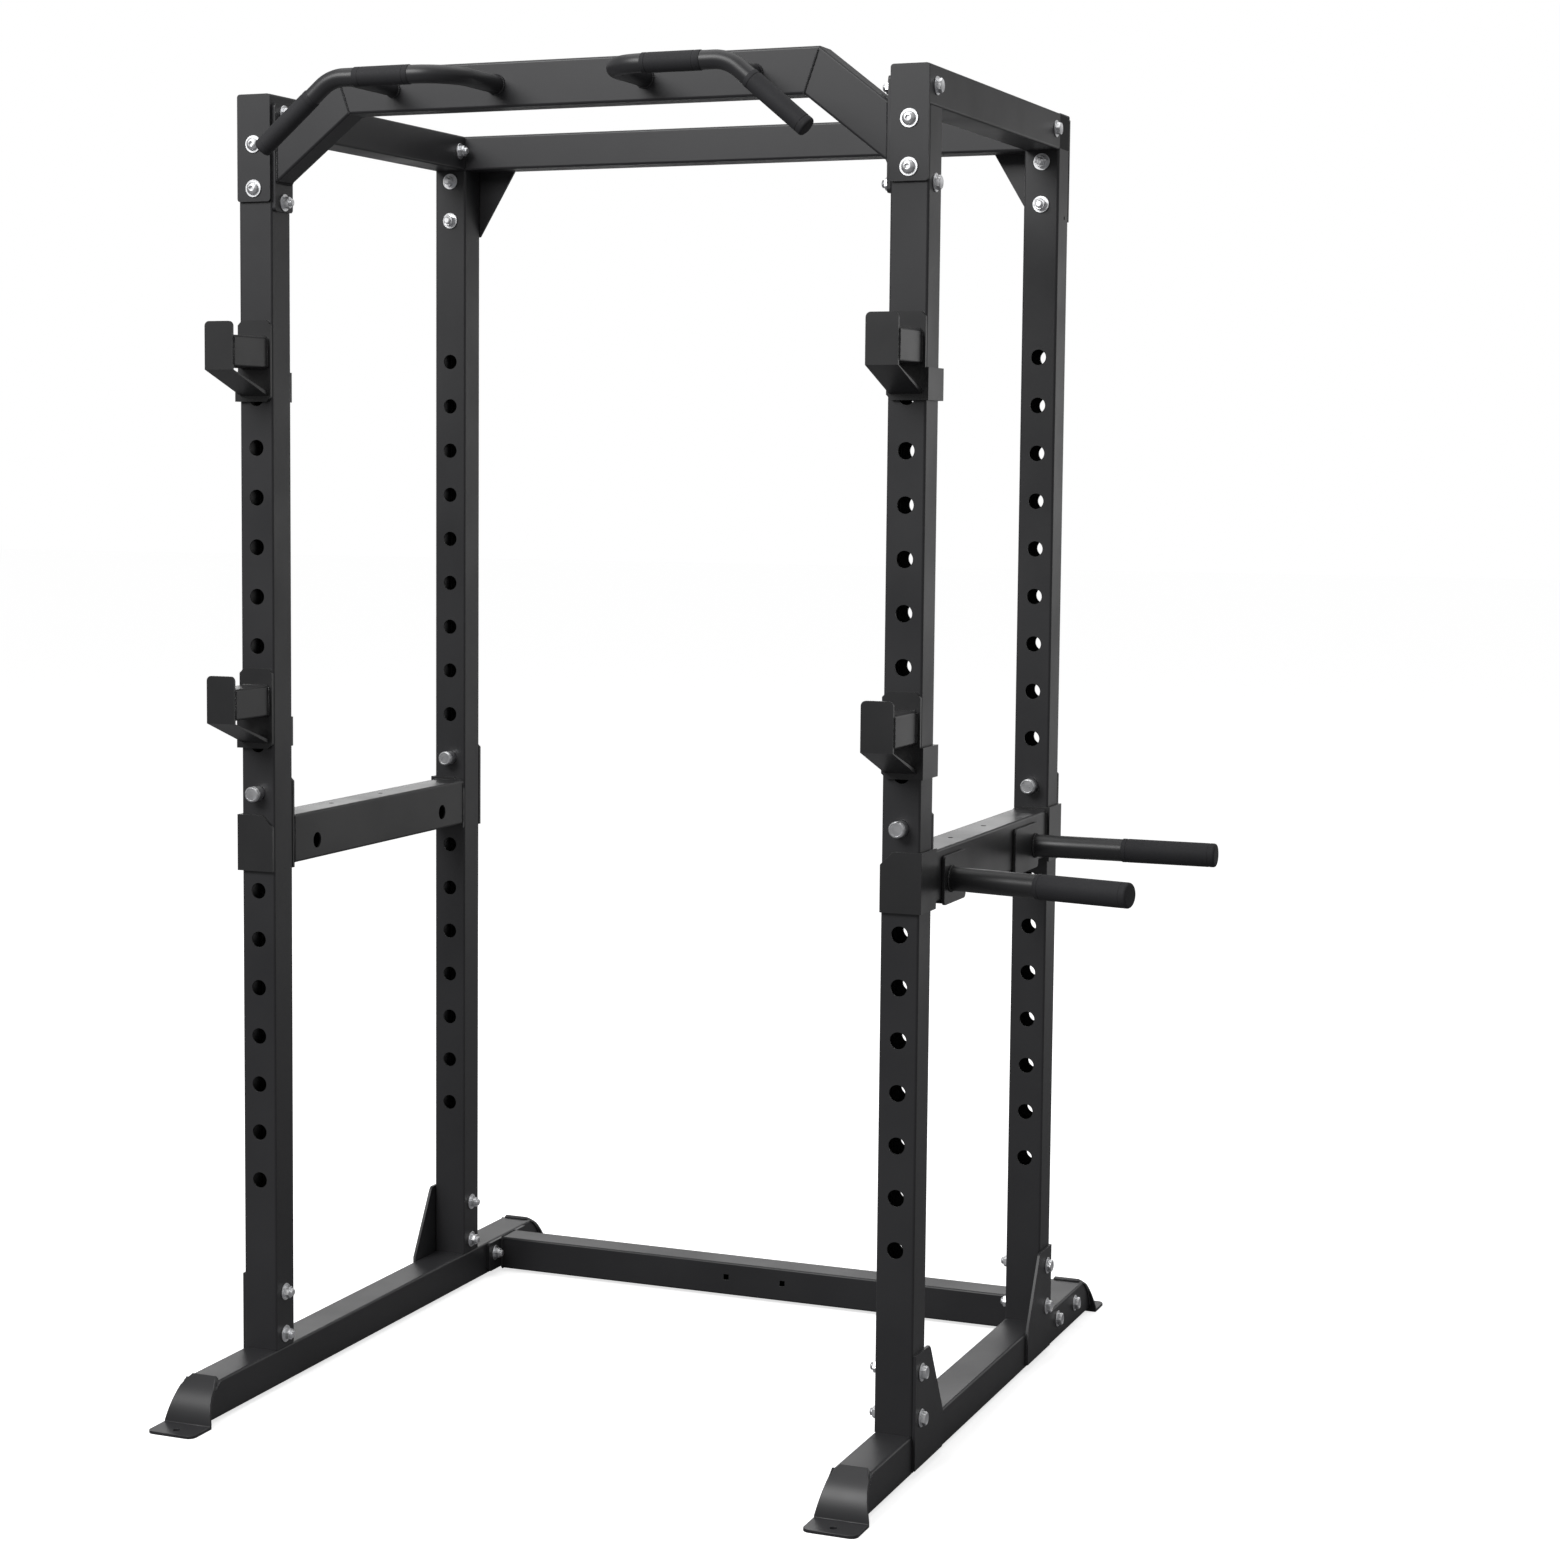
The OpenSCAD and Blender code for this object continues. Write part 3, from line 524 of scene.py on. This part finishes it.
sleeves = []
for side in (-1, 1):
    down = Vector((side * math.cos(KNEE_DROP), 0, -math.sin(KNEE_DROP)))
    knee = Vector((side * KNEE_X, HANDLE_Y, HANDLE_Z))
    inner = sleeve_outline(PULLUP_SLEEVE_RADIUS, INNER_SLEEVE, closed=False)
    outer = sleeve_outline(PULLUP_SLEEVE_RADIUS, OUTER_SLEEVE, closed=True)
    sleeves.append(turned(inner, (side * INNER_SLEEVE_X, HANDLE_Y, HANDLE_Z), (side, 0, 0)))
    sleeves.append(turned(outer, knee + down * OUTER_SLEEVE_FROM_KNEE, down))
finish_piece("pullup_grips.turned", joined("pullup_grips.turned", sleeves), "pullup_grips")

for name, (y, toe) in DIP_HANDLES.items():
    out = Vector((math.cos(toe), -math.sin(toe), 0))
    start = Vector((DIP_FACE_X, y, DIP_Z)) + out * DIP_SLEEVE_OUT
    grip = turned(sleeve_outline(DIP_SLEEVE_RADIUS, DIP_SLEEVE, closed=True), start, out, sides=48)
    finish_piece(name + "_grip.turned", grip, name + "_grip")
print(len(sleeves) + len(DIP_HANDLES), "sleeves turned")

# %% Turn the pins
HOOKS = ("jhook_upper_left", "jhook_upper_right", "jhook_lower_left", "jhook_lower_right")
SAFETY_BARS = ("safety_left", "safety_right")
HOOK_PIN = [(0, 0), (0, 12.5), (59, 12.5), (60.2, 12.3), (62.4, 10.2), (63, 9.4), (63, 0)]
SAFETY_PIN_LONG = 83.3
SAFETY_PIN = [(0, 0), (0, 12.5), (77.0, 12.5), (77.4, 12.0), (78.6, 12.0), (79.0, 12.5), (81.2, 12.5),
              (82.6, 11.6), (SAFETY_PIN_LONG, 10.6), (SAFETY_PIN_LONG, 9.8), (82.5, 9.2), (82.5, 0)]


def corners_of(node):
    """The low and the high corner of a CAD node's box."""
    return tuple(Vector(c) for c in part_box(node))


for hook in HOOKS:
    low, high = corners_of(hook + "_pin")
    centre = (low + high) / 2
    pin = turned(HOOK_PIN, (centre.x, low.y, centre.z), (0, 1, 0))
    finish_piece(hook + "_pin.turned", pin, hook + "_pin")
for bar in SAFETY_BARS:
    low, high = corners_of(bar + "_pins")
    centre = (low + high) / 2
    ends = [low.y + SAFETY_PIN_LONG * MM, high.y]
    pins = [turned(SAFETY_PIN, (centre.x, y, centre.z), (0, -1, 0)) for y in ends]
    finish_piece(bar + "_pins.turned", joined(bar + "_pins.turned", pins), bar + "_pins")
print(len(HOOKS) + 2 * len(SAFETY_BARS), "pins turned")

# %% [markdown]
# ## Bent tubes
# The pull-up handles are one tube bent twice, and each dip handle is a straight tube. A
# real bender pulls the tube along a path, so the node tree does the same: it takes a chain
# of points, turns it into a curve, and sweeps a circle along it. The same tree makes every
# tube, at its own radius.

# %% Build the tree that sweeps a tube
def new_tree(name, inputs):
    tree = bpy.data.node_groups.new(name, "GeometryNodeTree")
    tree.interface.new_socket("Geometry", in_out="INPUT", socket_type="NodeSocketGeometry")
    for label, kind, value in inputs:
        socket = tree.interface.new_socket(label, in_out="INPUT", socket_type="NodeSocket" + kind)
        if value is not None:
            socket.default_value = value
    tree.interface.new_socket("Geometry", in_out="OUTPUT", socket_type="NodeSocketGeometry")
    return tree, node_of(tree, "NodeGroupInput"), node_of(tree, "NodeGroupOutput")


def wire(tree, *pairs):
    for start, end in pairs:
        tree.links.new(start, end)


def grow(carrier_mesh, tree, **values):
    """Runs a node tree on a mesh and gives back the plain mesh that it makes."""
    carrier = add_object("carrier", carrier_mesh)
    modifier = carrier.modifiers.new("grow", "NODES")
    modifier.node_group = tree
    for item in tree.interface.items_tree:
        label = item.name.replace(" ", "_")
        if item.item_type == "SOCKET" and item.in_out == "INPUT" and label in values:
            modifier[item.identifier] = values[label]
    depsgraph = bpy.context.evaluated_depsgraph_get()
    made = bpy.data.meshes.new_from_object(carrier.evaluated_get(depsgraph), depsgraph=depsgraph)
    carrier.modifiers.remove(modifier)
    bpy.data.objects.remove(carrier)
    return made


def chain_mesh(chains):
    """Chains of points joined by edges. Each is (points, closed)."""
    points, edges = [], []
    for chain, closed in chains:
        first = len(points)
        points += [tuple(p) for p in chain]
        edges += [(first + i, first + i + 1) for i in range(len(chain) - 1)]
        if closed:
            edges.append((len(points) - 1, first))
    mesh = bpy.data.meshes.new("chains")
    mesh.from_pydata(points, edges, [])
    return mesh


def end_tree(tree, ins, outs, shape):
    """Ends a tree in real faces, not instances, with the finish that it was given."""
    realize = node_of(tree, "GeometryNodeRealizeInstances")
    paint = node_of(tree, "GeometryNodeSetMaterial")
    wire(tree,
         (shape, realize.inputs["Geometry"]),
         (realize.outputs["Geometry"], paint.inputs["Geometry"]),
         (ins.outputs["Finish"], paint.inputs["Material"]),
         (paint.outputs["Geometry"], outs.inputs["Geometry"]))


tube_tree, ins, outs = new_tree("tube_along_path", [
    ("Radius", "Float", 0.014), ("Sides", "Int", 32), ("Finish", "Material", None)])
path = node_of(tube_tree, "GeometryNodeMeshToCurve")
section = node_of(tube_tree, "GeometryNodeCurvePrimitiveCircle")
sweep = node_of(tube_tree, "GeometryNodeCurveToMesh")
sweep.inputs["Fill Caps"].default_value = True
soften = node_of(tube_tree, "GeometryNodeSetShadeSmooth")
wire(tube_tree,
     (ins.outputs["Geometry"], path.inputs["Mesh"]),
     (ins.outputs["Radius"], section.inputs["Radius"]),
     (ins.outputs["Sides"], section.inputs["Resolution"]),
     (path.outputs["Curve"], sweep.inputs["Curve"]),
     (section.outputs["Curve"], sweep.inputs["Profile Curve"]),
     (sweep.outputs["Mesh"], soften.inputs["Geometry"]))
end_tree(tube_tree, ins, outs, soften.outputs["Geometry"])
print("tree:", tube_tree.name)

# %% Sweep the bent tubes
BEAM_FACE_Y = -0.395
INTO_BEAM = 0.002
ROOT_X, ROOT_BEND, KNEE_BEND = 0.125, 0.065, 0.060
KNEE_TO_END = 0.157
HANDLE_RADIUS, STRUT_RADIUS, DIP_TUBE_RADIUS = 0.014, 0.011, 0.0185
STRUT_X = 0.304
DIP_TUBE_OUT = 0.300


def arc(centre, across, up, radius, start, end, steps=14):
    """Points on an arc in the plane of two directions, from one angle to another in degrees."""
    turns = (math.radians(start + (end - start) * i / steps) for i in range(steps + 1))
    across, up = Vector(across), Vector(up)
    return [Vector(centre) + radius * (across * math.cos(a) + up * math.sin(a)) for a in turns]


def tube_on(points, radius, sides, slot):
    return grow(chain_mesh([(points, False)]), tube_tree, Radius=radius, Sides=sides, Finish=FINISHES[slot])


for name, side in (("pullup_handle_left", -1), ("pullup_handle_right", 1)):
    out = Vector((side, 0, 0))
    tangent = KNEE_BEND * math.tan(KNEE_DROP / 2)
    bend = arc((side * (ROOT_X + ROOT_BEND), HANDLE_Y + ROOT_BEND, HANDLE_Z),
               -out, (0, -1, 0), ROOT_BEND, start=0, end=90)
    turn_down = arc((side * (KNEE_X - tangent), HANDLE_Y, HANDLE_Z - KNEE_BEND),
                    out, (0, 0, 1), KNEE_BEND, start=90, end=50)
    end = Vector((side * (KNEE_X + KNEE_TO_END * math.cos(KNEE_DROP)), HANDLE_Y,
                  HANDLE_Z - KNEE_TO_END * math.sin(KNEE_DROP)))
    root = Vector((side * ROOT_X, BEAM_FACE_Y + INTO_BEAM, HANDLE_Z))
    main = tube_on([root, *bend, *turn_down, end], HANDLE_RADIUS, 36, "coated_steel_frame")
    strut_ends = [(side * STRUT_X, HANDLE_Y, HANDLE_Z), (side * STRUT_X, BEAM_FACE_Y + INTO_BEAM, HANDLE_Z)]
    strut = tube_on(strut_ends, STRUT_RADIUS, 32, "coated_steel_frame")
    finish_piece(name + ".bent", joined(name + ".bent", [main, strut]), name)
for name, (y, toe) in DIP_HANDLES.items():
    out = Vector((math.cos(toe), -math.sin(toe), 0))
    face = Vector((DIP_FACE_X, y, DIP_Z))
    tube = tube_on([face - out * MM, face + out * DIP_TUBE_OUT], DIP_TUBE_RADIUS, 44,
                   "coated_steel_accessory")
    finish_piece(name + "_tube.swept", tube, name + "_tube")
print("2 bent handles and", len(DIP_HANDLES), "dip tubes swept")

# %% [markdown]
# ## Bolts, washers and nuts
# The frame is held by M12 bolts, each with a washer under its head and another under its
# nut. The ones that run front to back have low round heads with a hex socket, the ones
# that run sideways have hex heads. Each shape is turned once, and a node tree sets it on
# every bolt's place with its own chance spin, as a fitter's spanner leaves them. The
# places come from the bolts in the CAD model, so nothing has to be typed in twice.

# %% Build the tree that sets fasteners
fastener_tree, ins, outs = new_tree("fasteners_on_points", [
    ("Shape", "Object", None), ("Most spin", "Float", math.tau), ("Seed", "Int", 7),
    ("Finish", "Material", None)])
aim = node_of(fastener_tree, "GeometryNodeInputNamedAttribute", data_type="FLOAT_VECTOR")
aim.inputs["Name"].default_value = "aim"
stretch = node_of(fastener_tree, "GeometryNodeInputNamedAttribute", data_type="FLOAT")
stretch.inputs["Name"].default_value = "stretch"
turn_to = node_of(fastener_tree, "FunctionNodeAlignRotationToVector", axis="Z")
chance = node_of(fastener_tree, "FunctionNodeRandomValue", data_type="FLOAT")
spin = node_of(fastener_tree, "ShaderNodeCombineXYZ")
as_turn = node_of(fastener_tree, "FunctionNodeEulerToRotation")
spun = node_of(fastener_tree, "FunctionNodeRotateRotation", rotation_space="LOCAL")
size = node_of(fastener_tree, "ShaderNodeCombineXYZ")
set_inputs(size, {"X": 1.0, "Y": 1.0})
pattern_info = node_of(fastener_tree, "GeometryNodeObjectInfo")
place = node_of(fastener_tree, "GeometryNodeInstanceOnPoints")


def range_of(random_node):
    """The least and most sockets, and the result, of a random value set to plain numbers."""
    ends = {s.name: s for s in random_node.inputs if s.enabled and s.name in ("Min", "Max")}
    return ends["Min"], ends["Max"], next(s for s in random_node.outputs if s.enabled)


_, most, drawn = range_of(chance)
wire(fastener_tree,
     (aim.outputs["Attribute"], turn_to.inputs["Vector"]),
     (ins.outputs["Most spin"], most),
     (ins.outputs["Seed"], chance.inputs["Seed"]),
     (drawn, spin.inputs["Z"]),
     (spin.outputs["Vector"], as_turn.inputs["Euler"]),
     (turn_to.outputs["Rotation"], spun.inputs["Rotation"]),
     (as_turn.outputs["Rotation"], spun.inputs["Rotate By"]),
     (stretch.outputs["Attribute"], size.inputs["Z"]),
     (ins.outputs["Shape"], pattern_info.inputs["Object"]),
     (ins.outputs["Geometry"], place.inputs["Points"]),
     (pattern_info.outputs["Geometry"], place.inputs["Instance"]),
     (spun.outputs["Rotation"], place.inputs["Rotation"]),
     (size.outputs["Vector"], place.inputs["Scale"]))
end_tree(fastener_tree, ins, outs, place.outputs["Instances"])
print("tree:", fastener_tree.name)

# %% Find where each bolt sits
BUTTON_HIGH, HEX_HIGH, NUT_AND_TIP = 0.0065, 0.0075, 0.014
PLACE_DECIMALS = 4


def islands(node):
    """The separate solids in a CAD node, each as a list of its points, sorted by place.

    The sort matters: the spins are drawn in this order, and a set gives its points up in
    an order that changes from run to run.
    """
    shape = bmesh.new()
    shape.from_mesh(frame["nodes"][node].data)
    bmesh.ops.remove_doubles(shape, verts=shape.verts, dist=MERGE_GAP)
    left, found = set(shape.verts), []
    while left:
        group, waiting = [], [left.pop()]
        while waiting:
            corner = waiting.pop()
            group.append(corner.co.copy())
            for edge in corner.link_edges:
                other = edge.other_vert(corner)
                if other in left:
                    left.remove(other)
                    waiting.append(other)
        found.append(group)
    shape.free()
    found.sort(key=lambda group: [round(min(p[i] for p in group), PLACE_DECIMALS) for i in range(3)])
    return found


def girth(points, centre, axis, end):
    """The widest that a bolt is near one of its ends."""
    along = Vector(1.0 if i == axis else 0.0 for i in range(3))
    close = [p for p in points if abs(p[axis] - end) < BUTTON_HIGH + MM]
    return max((p - centre - along * (p - centre).dot(along)).length for p in close)


heads, hex_heads, shanks, nut_seats, washer_seats = [], [], [], [], []
for points in islands("frame_bolts"):
    low = Vector(min(p[i] for p in points) for i in range(3))
    high = Vector(max(p[i] for p in points) for i in range(3))
    centre = (low + high) / 2
    axis = max(range(3), key=lambda i: high[i] - low[i])
    front_to_back = axis == 1
    length = high[axis] - low[axis]
    toward = Vector(1.0 if i == axis else 0.0 for i in range(3))
    if girth(points, centre, axis, low[axis]) < girth(points, centre, axis, high[axis]):
        toward = -toward
    head_high = BUTTON_HIGH if front_to_back else HEX_HIGH
    seat = centre - toward * (length / 2 - head_high)
    nut_seat = centre + toward * (length / 2 - NUT_AND_TIP)
    (heads if front_to_back else hex_heads).append((seat, -toward, 1.0))
    shanks.append((seat, toward, (nut_seat - seat).length / MM))
    nut_seats.append((nut_seat, toward, 1.0))
    washer_seats += [(seat, toward, 1.0), (nut_seat, -toward, 1.0)]
print(len(heads), "bolts run front to back,", len(hex_heads), "run sideways")

# %% Set the fasteners
# Outlines in mm: distance, radius, and the width across flats where there are any.
BUTTON_HEAD = [(0, 0), (0, 10.2), (0.3, 10.5), (1.3, 10.5), (2.9, 9.9), (4.3, 8.8), (5.4, 7.3), (6.2, 5.8),
               (6.5, 5.1), (6.5, 9, 8), (3.0, 9, 8), (3.0, 0)]
HEX_HEAD = [(0, 0), (0, 9.2), (0.5, 9.3), (0.5, 11, 19), (6.3, 11, 19), (7.2, 9.4, 19), (7.5, 8.6, 19),
            (7.2, 8.0), (7.2, 0)]
NUT = [(0, 0), (0, 8.5, 17.3), (0.7, 10, 17.3), (8.3, 10, 17.3), (9, 8.4, 17.3), (8.9, 6.8), (8.9, 0)]
WASHER = [(0, 0), (0, 13.6), (0.4, 14), (1.5, 14), (2, 13.5), (2, 0)]
SHANK = [(0, 0), (0, 6), (1, 6), (1, 0)]
BOLT_TIP = [(0, 0), (0, 5.2), (8.6, 5.2), (9.3, 6), (10.1, 5.3), (11, 6), (11.9, 5.3), (12.8, 6), (13.6, 5.0),
            (14, 4.4), (14, 0)]


def points_mesh(places):
    """Loose points, each with the way it aims and how far it is stretched."""
    mesh = bpy.data.meshes.new("points")
    mesh.from_pydata([tuple(at) for at, _, _ in places], [], [])
    aims = [part for _, way, _ in places for part in way]
    lengths = [length for _, _, length in places]
    mesh.attributes.new("aim", "FLOAT_VECTOR", "POINT").data.foreach_set("vector", aims)
    mesh.attributes.new("stretch", "FLOAT", "POINT").data.foreach_set("value", lengths)
    return mesh


def set_on(places, outline, seed, sides=36):
    pattern = add_object("pattern", turned(outline, sides=sides))
    made = grow(points_mesh(places), fastener_tree, Shape=pattern, Seed=seed, Most_spin=math.tau,
                Finish=FINISHES["zinc_hardware"])
    bpy.data.objects.remove(pattern)
    return made


bolts = [set_on(heads, BUTTON_HEAD, seed=3),
         set_on(hex_heads, HEX_HEAD, seed=5),
         set_on(shanks, SHANK, seed=1, sides=24),
         set_on(nut_seats, BOLT_TIP, seed=9, sides=24)]
finish_piece("frame_bolts.turned", joined("frame_bolts.turned", bolts), "frame_bolts")
finish_piece("frame_nuts.turned", set_on(nut_seats, NUT, seed=11), "frame_nuts")
finish_piece("frame_washers.turned", set_on(washer_seats, WASHER, seed=13), "frame_washers")
print(len(shanks), "bolts,", len(nut_seats), "nuts and", len(washer_seats), "washers set")

# %% [markdown]
# ## Weld beads
# Where one part is welded to another a bead of overlapping ripples shows under the coat.
# Each seam is a chain of points in the corner between the two parts. A node tree walks
# along it and sets a small flattened bead at every step, each a little different in size,
# so that the run looks laid by hand. The bead has few faces, since there are thousands.

# %% Build the tree that lays a bead
RIPPLE_STEP, RIPPLE_UNEVEN = 0.0027, 0.14
weld_tree, ins, outs = new_tree("weld_bead", [
    ("Ripple", "Object", None), ("Step", "Float", RIPPLE_STEP), ("Uneven", "Float", RIPPLE_UNEVEN),
    ("Seed", "Int", 4), ("Finish", "Material", None)])
path = node_of(weld_tree, "GeometryNodeMeshToCurve")
steps = node_of(weld_tree, "GeometryNodeCurveToPoints", mode="LENGTH")
chance = node_of(weld_tree, "FunctionNodeRandomValue", data_type="FLOAT")
smallest = node_of(weld_tree, "ShaderNodeMath", operation="SUBTRACT")
smallest.inputs[0].default_value = 1.0
largest = node_of(weld_tree, "ShaderNodeMath", operation="ADD")
largest.inputs[0].default_value = 1.0
ripple_info = node_of(weld_tree, "GeometryNodeObjectInfo")
place = node_of(weld_tree, "GeometryNodeInstanceOnPoints")
least, most, drawn = range_of(chance)
wire(weld_tree,
     (ins.outputs["Geometry"], path.inputs["Mesh"]),
     (path.outputs["Curve"], steps.inputs["Curve"]),
     (ins.outputs["Step"], steps.inputs["Length"]),
     (ins.outputs["Uneven"], smallest.inputs[1]),
     (ins.outputs["Uneven"], largest.inputs[1]),
     (smallest.outputs[0], least),
     (largest.outputs[0], most),
     (ins.outputs["Seed"], chance.inputs["Seed"]),
     (ins.outputs["Ripple"], ripple_info.inputs["Object"]),
     (steps.outputs["Points"], place.inputs["Points"]),
     (ripple_info.outputs["Geometry"], place.inputs["Instance"]),
     (steps.outputs["Rotation"], place.inputs["Rotation"]),
     (drawn, place.inputs["Scale"]))
end_tree(weld_tree, ins, outs, place.outputs["Instances"])
print("tree:", weld_tree.name)

# %% Trace the seams of the frame
ACROSS_X, ACROSS_Y, UPWARD = Vector((1, 0, 0)), Vector((0, 1, 0)), Vector((0, 0, 1))
TUBE_CORNER = 0.004
SEAM_STEPS = 24
SEAM_OUT, BEAD_SINK, LUG_SEAM_DOWN = 0.5 * MM, 1.5 * MM, 2 * MM
BEAM_Y, BEAM_HALF_DEEP, BEAM_TOP, BEAM_HIGH = -0.370, 0.025, 2.145, 0.070
BEAM_HALF, ARM_SLOPE, FLANGE_X = 0.406, math.radians(38), 0.514
MITRE_INSET = 0.1
RAIL_TOP, RAIL_HALF, RAIL_X = 0.066, 0.030, 0.550
FOOT_RADIUS, FOOT_CENTRE_Y, FOOT_CENTRE_Z = 0.0819, 0.5443, -0.0092
FOOT_START = math.radians(22)
UNDER_START, UNDER_END = 64, 18
FOOT_SEAM_HALF = 0.019


def round_box(centre, across, up, half_across, half_up):
    """A closed loop round a tube's section, cutting its corners."""
    flat_across, flat_up = half_across - TUBE_CORNER, half_up - TUBE_CORNER
    turns = [(half_across, flat_up), (flat_across, half_up), (-flat_across, half_up),
             (-half_across, flat_up), (-half_across, -flat_up), (-flat_across, -half_up),
             (flat_across, -half_up), (half_across, -flat_up)]
    return [Vector(centre) + across * a + up * b for a, b in turns], True


def round_circle(centre, across, up, radius):
    last = 360 - 360 // SEAM_STEPS
    return arc(centre, across, up, radius, start=0, end=last, steps=SEAM_STEPS - 1), True


seams = {body: [] for body in record["behaviour"]["bodies"]}
on_frame = seams["frame"]
low, high = corners_of("rear_base_beam")
middle = (low + high) / 2
for x, inward in ((low.x, MM), (high.x, -MM)):
    on_frame.append(round_box((x + inward, middle.y, middle.z), ACROSS_Y, UPWARD,
                              (high.y - low.y) / 2, (high.z - low.z) / 2))

mitre_run = BEAM_HIGH * math.tan(ARM_SLOPE / 2)
arm_top = BEAM_TOP - (FLANGE_X - BEAM_HALF) * math.tan(ARM_SLOPE)
arm_high = BEAM_HIGH / math.cos(ARM_SLOPE)
for side in (-1, 1):
    on_frame.append(round_box((side * (FLANGE_X - MM), BEAM_Y, arm_top - arm_high / 2),
                              ACROSS_Y, UPWARD, BEAM_HALF_DEEP, arm_high / 2))
    for y in (BEAM_Y - BEAM_HALF_DEEP, BEAM_Y + BEAM_HALF_DEEP):
        upper = (side * (BEAM_HALF - MITRE_INSET * mitre_run), y, BEAM_TOP - MITRE_INSET * BEAM_HIGH)
        lower = (side * (BEAM_HALF - mitre_run), y, BEAM_TOP - BEAM_HIGH + MM)
        on_frame.append(([upper, lower], False))
    for x, radius in ((ROOT_X, HANDLE_RADIUS), (STRUT_X, STRUT_RADIUS)):
        on_frame.append(round_circle((side * x, BEAM_FACE_Y - MM, HANDLE_Z),
                                     ACROSS_X, UPWARD, radius + SEAM_OUT))

for side, hand in ((-1, "left"), (1, "right")):
    for end, where in ((-1, "front"), (1, "rear")):
        low, high = corners_of("lug_%s_%s" % (where, hand))
        inner_y, outer_y = (high.y, low.y) if end < 0 else (low.y, high.y)
        x = side * (RAIL_X + RAIL_HALF + MM)
        on_frame.append(([(x, inner_y, RAIL_TOP - LUG_SEAM_DOWN), (x, inner_y, low.z), (x, outer_y, low.z)],
                         False))
        centre = (side * RAIL_X, end * FOOT_CENTRE_Y, FOOT_CENTRE_Z)
        for flank in (-1, 1):
            shift = Vector((flank * (RAIL_HALF + MM), 0, 0))
            under = arc(centre, (0, end, 0), UPWARD, FOOT_RADIUS - BEAD_SINK, UNDER_START, UNDER_END)
            on_frame.append(([p + shift for p in under], False))
        y = end * (FOOT_CENTRE_Y + FOOT_RADIUS * math.sin(FOOT_START) - BEAD_SINK)
        on_frame.append(([(side * RAIL_X - FOOT_SEAM_HALF, y, RAIL_TOP + MM),
                          (side * RAIL_X + FOOT_SEAM_HALF, y, RAIL_TOP + MM)], False))
print(len(on_frame), "seams on the frame")

# %% Trace the seams of the hooks, bars and handles
HOOK_FACE_Y, CRADLE_LONG, CRADLE_HALF, CRADLE_BELOW_PIN = -0.4063, 0.105, 0.025, 0.008
DIP_SEAM_RADIUS = 0.0190
for hook in HOOKS:
    low, high = corners_of(hook + "_pin")
    x, z = (low.x + high.x) / 2, (low.z + high.z) / 2 - CRADLE_BELOW_PIN
    for y in (HOOK_FACE_Y - MM, HOOK_FACE_Y - CRADLE_LONG + MM):
        seams[hook].append(round_box((x, y, z), ACROSS_X, UPWARD, CRADLE_HALF, CRADLE_HALF))
for bar in SAFETY_BARS:
    low, high = corners_of(bar + "_bar")
    middle = (low + high) / 2
    for y in (low.y + MM, high.y - MM):
        seams[bar].append(round_box((middle.x, y, middle.z), ACROSS_X, UPWARD,
                                    (high.x - low.x) / 2, (high.z - low.z) / 2))
for name, (y, _) in DIP_HANDLES.items():
    seams[name].append(round_circle((DIP_FACE_X + MM, y, DIP_Z), ACROSS_Y, UPWARD, DIP_SEAM_RADIUS))
print(sum(len(chains) for chains in seams.values()) - len(on_frame), "seams on the rest")

# %% Lay the weld beads
RIPPLE = [(-1.9, 0), (-1.3, 1.5), (0, 2.1), (1.3, 1.5), (1.9, 0)]
ripple = add_object("ripple", turned(RIPPLE, sides=8))
for seed, (body, chains) in enumerate(seams.items()):
    coat = "coated_steel_frame" if body == "frame" else "coated_steel_accessory"
    bead = grow(chain_mesh(chains), weld_tree, Ripple=ripple, Step=RIPPLE_STEP, Uneven=RIPPLE_UNEVEN,
                Seed=seed, Finish=FINISHES[coat])
    for face in bead.polygons:
        face.use_smooth = True
    welds = add_object(body + ".welds", bead)
    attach(welds, body)
    print(body, "seams:", len(chains), "faces:", len(bead.polygons))
bpy.data.objects.remove(ripple)
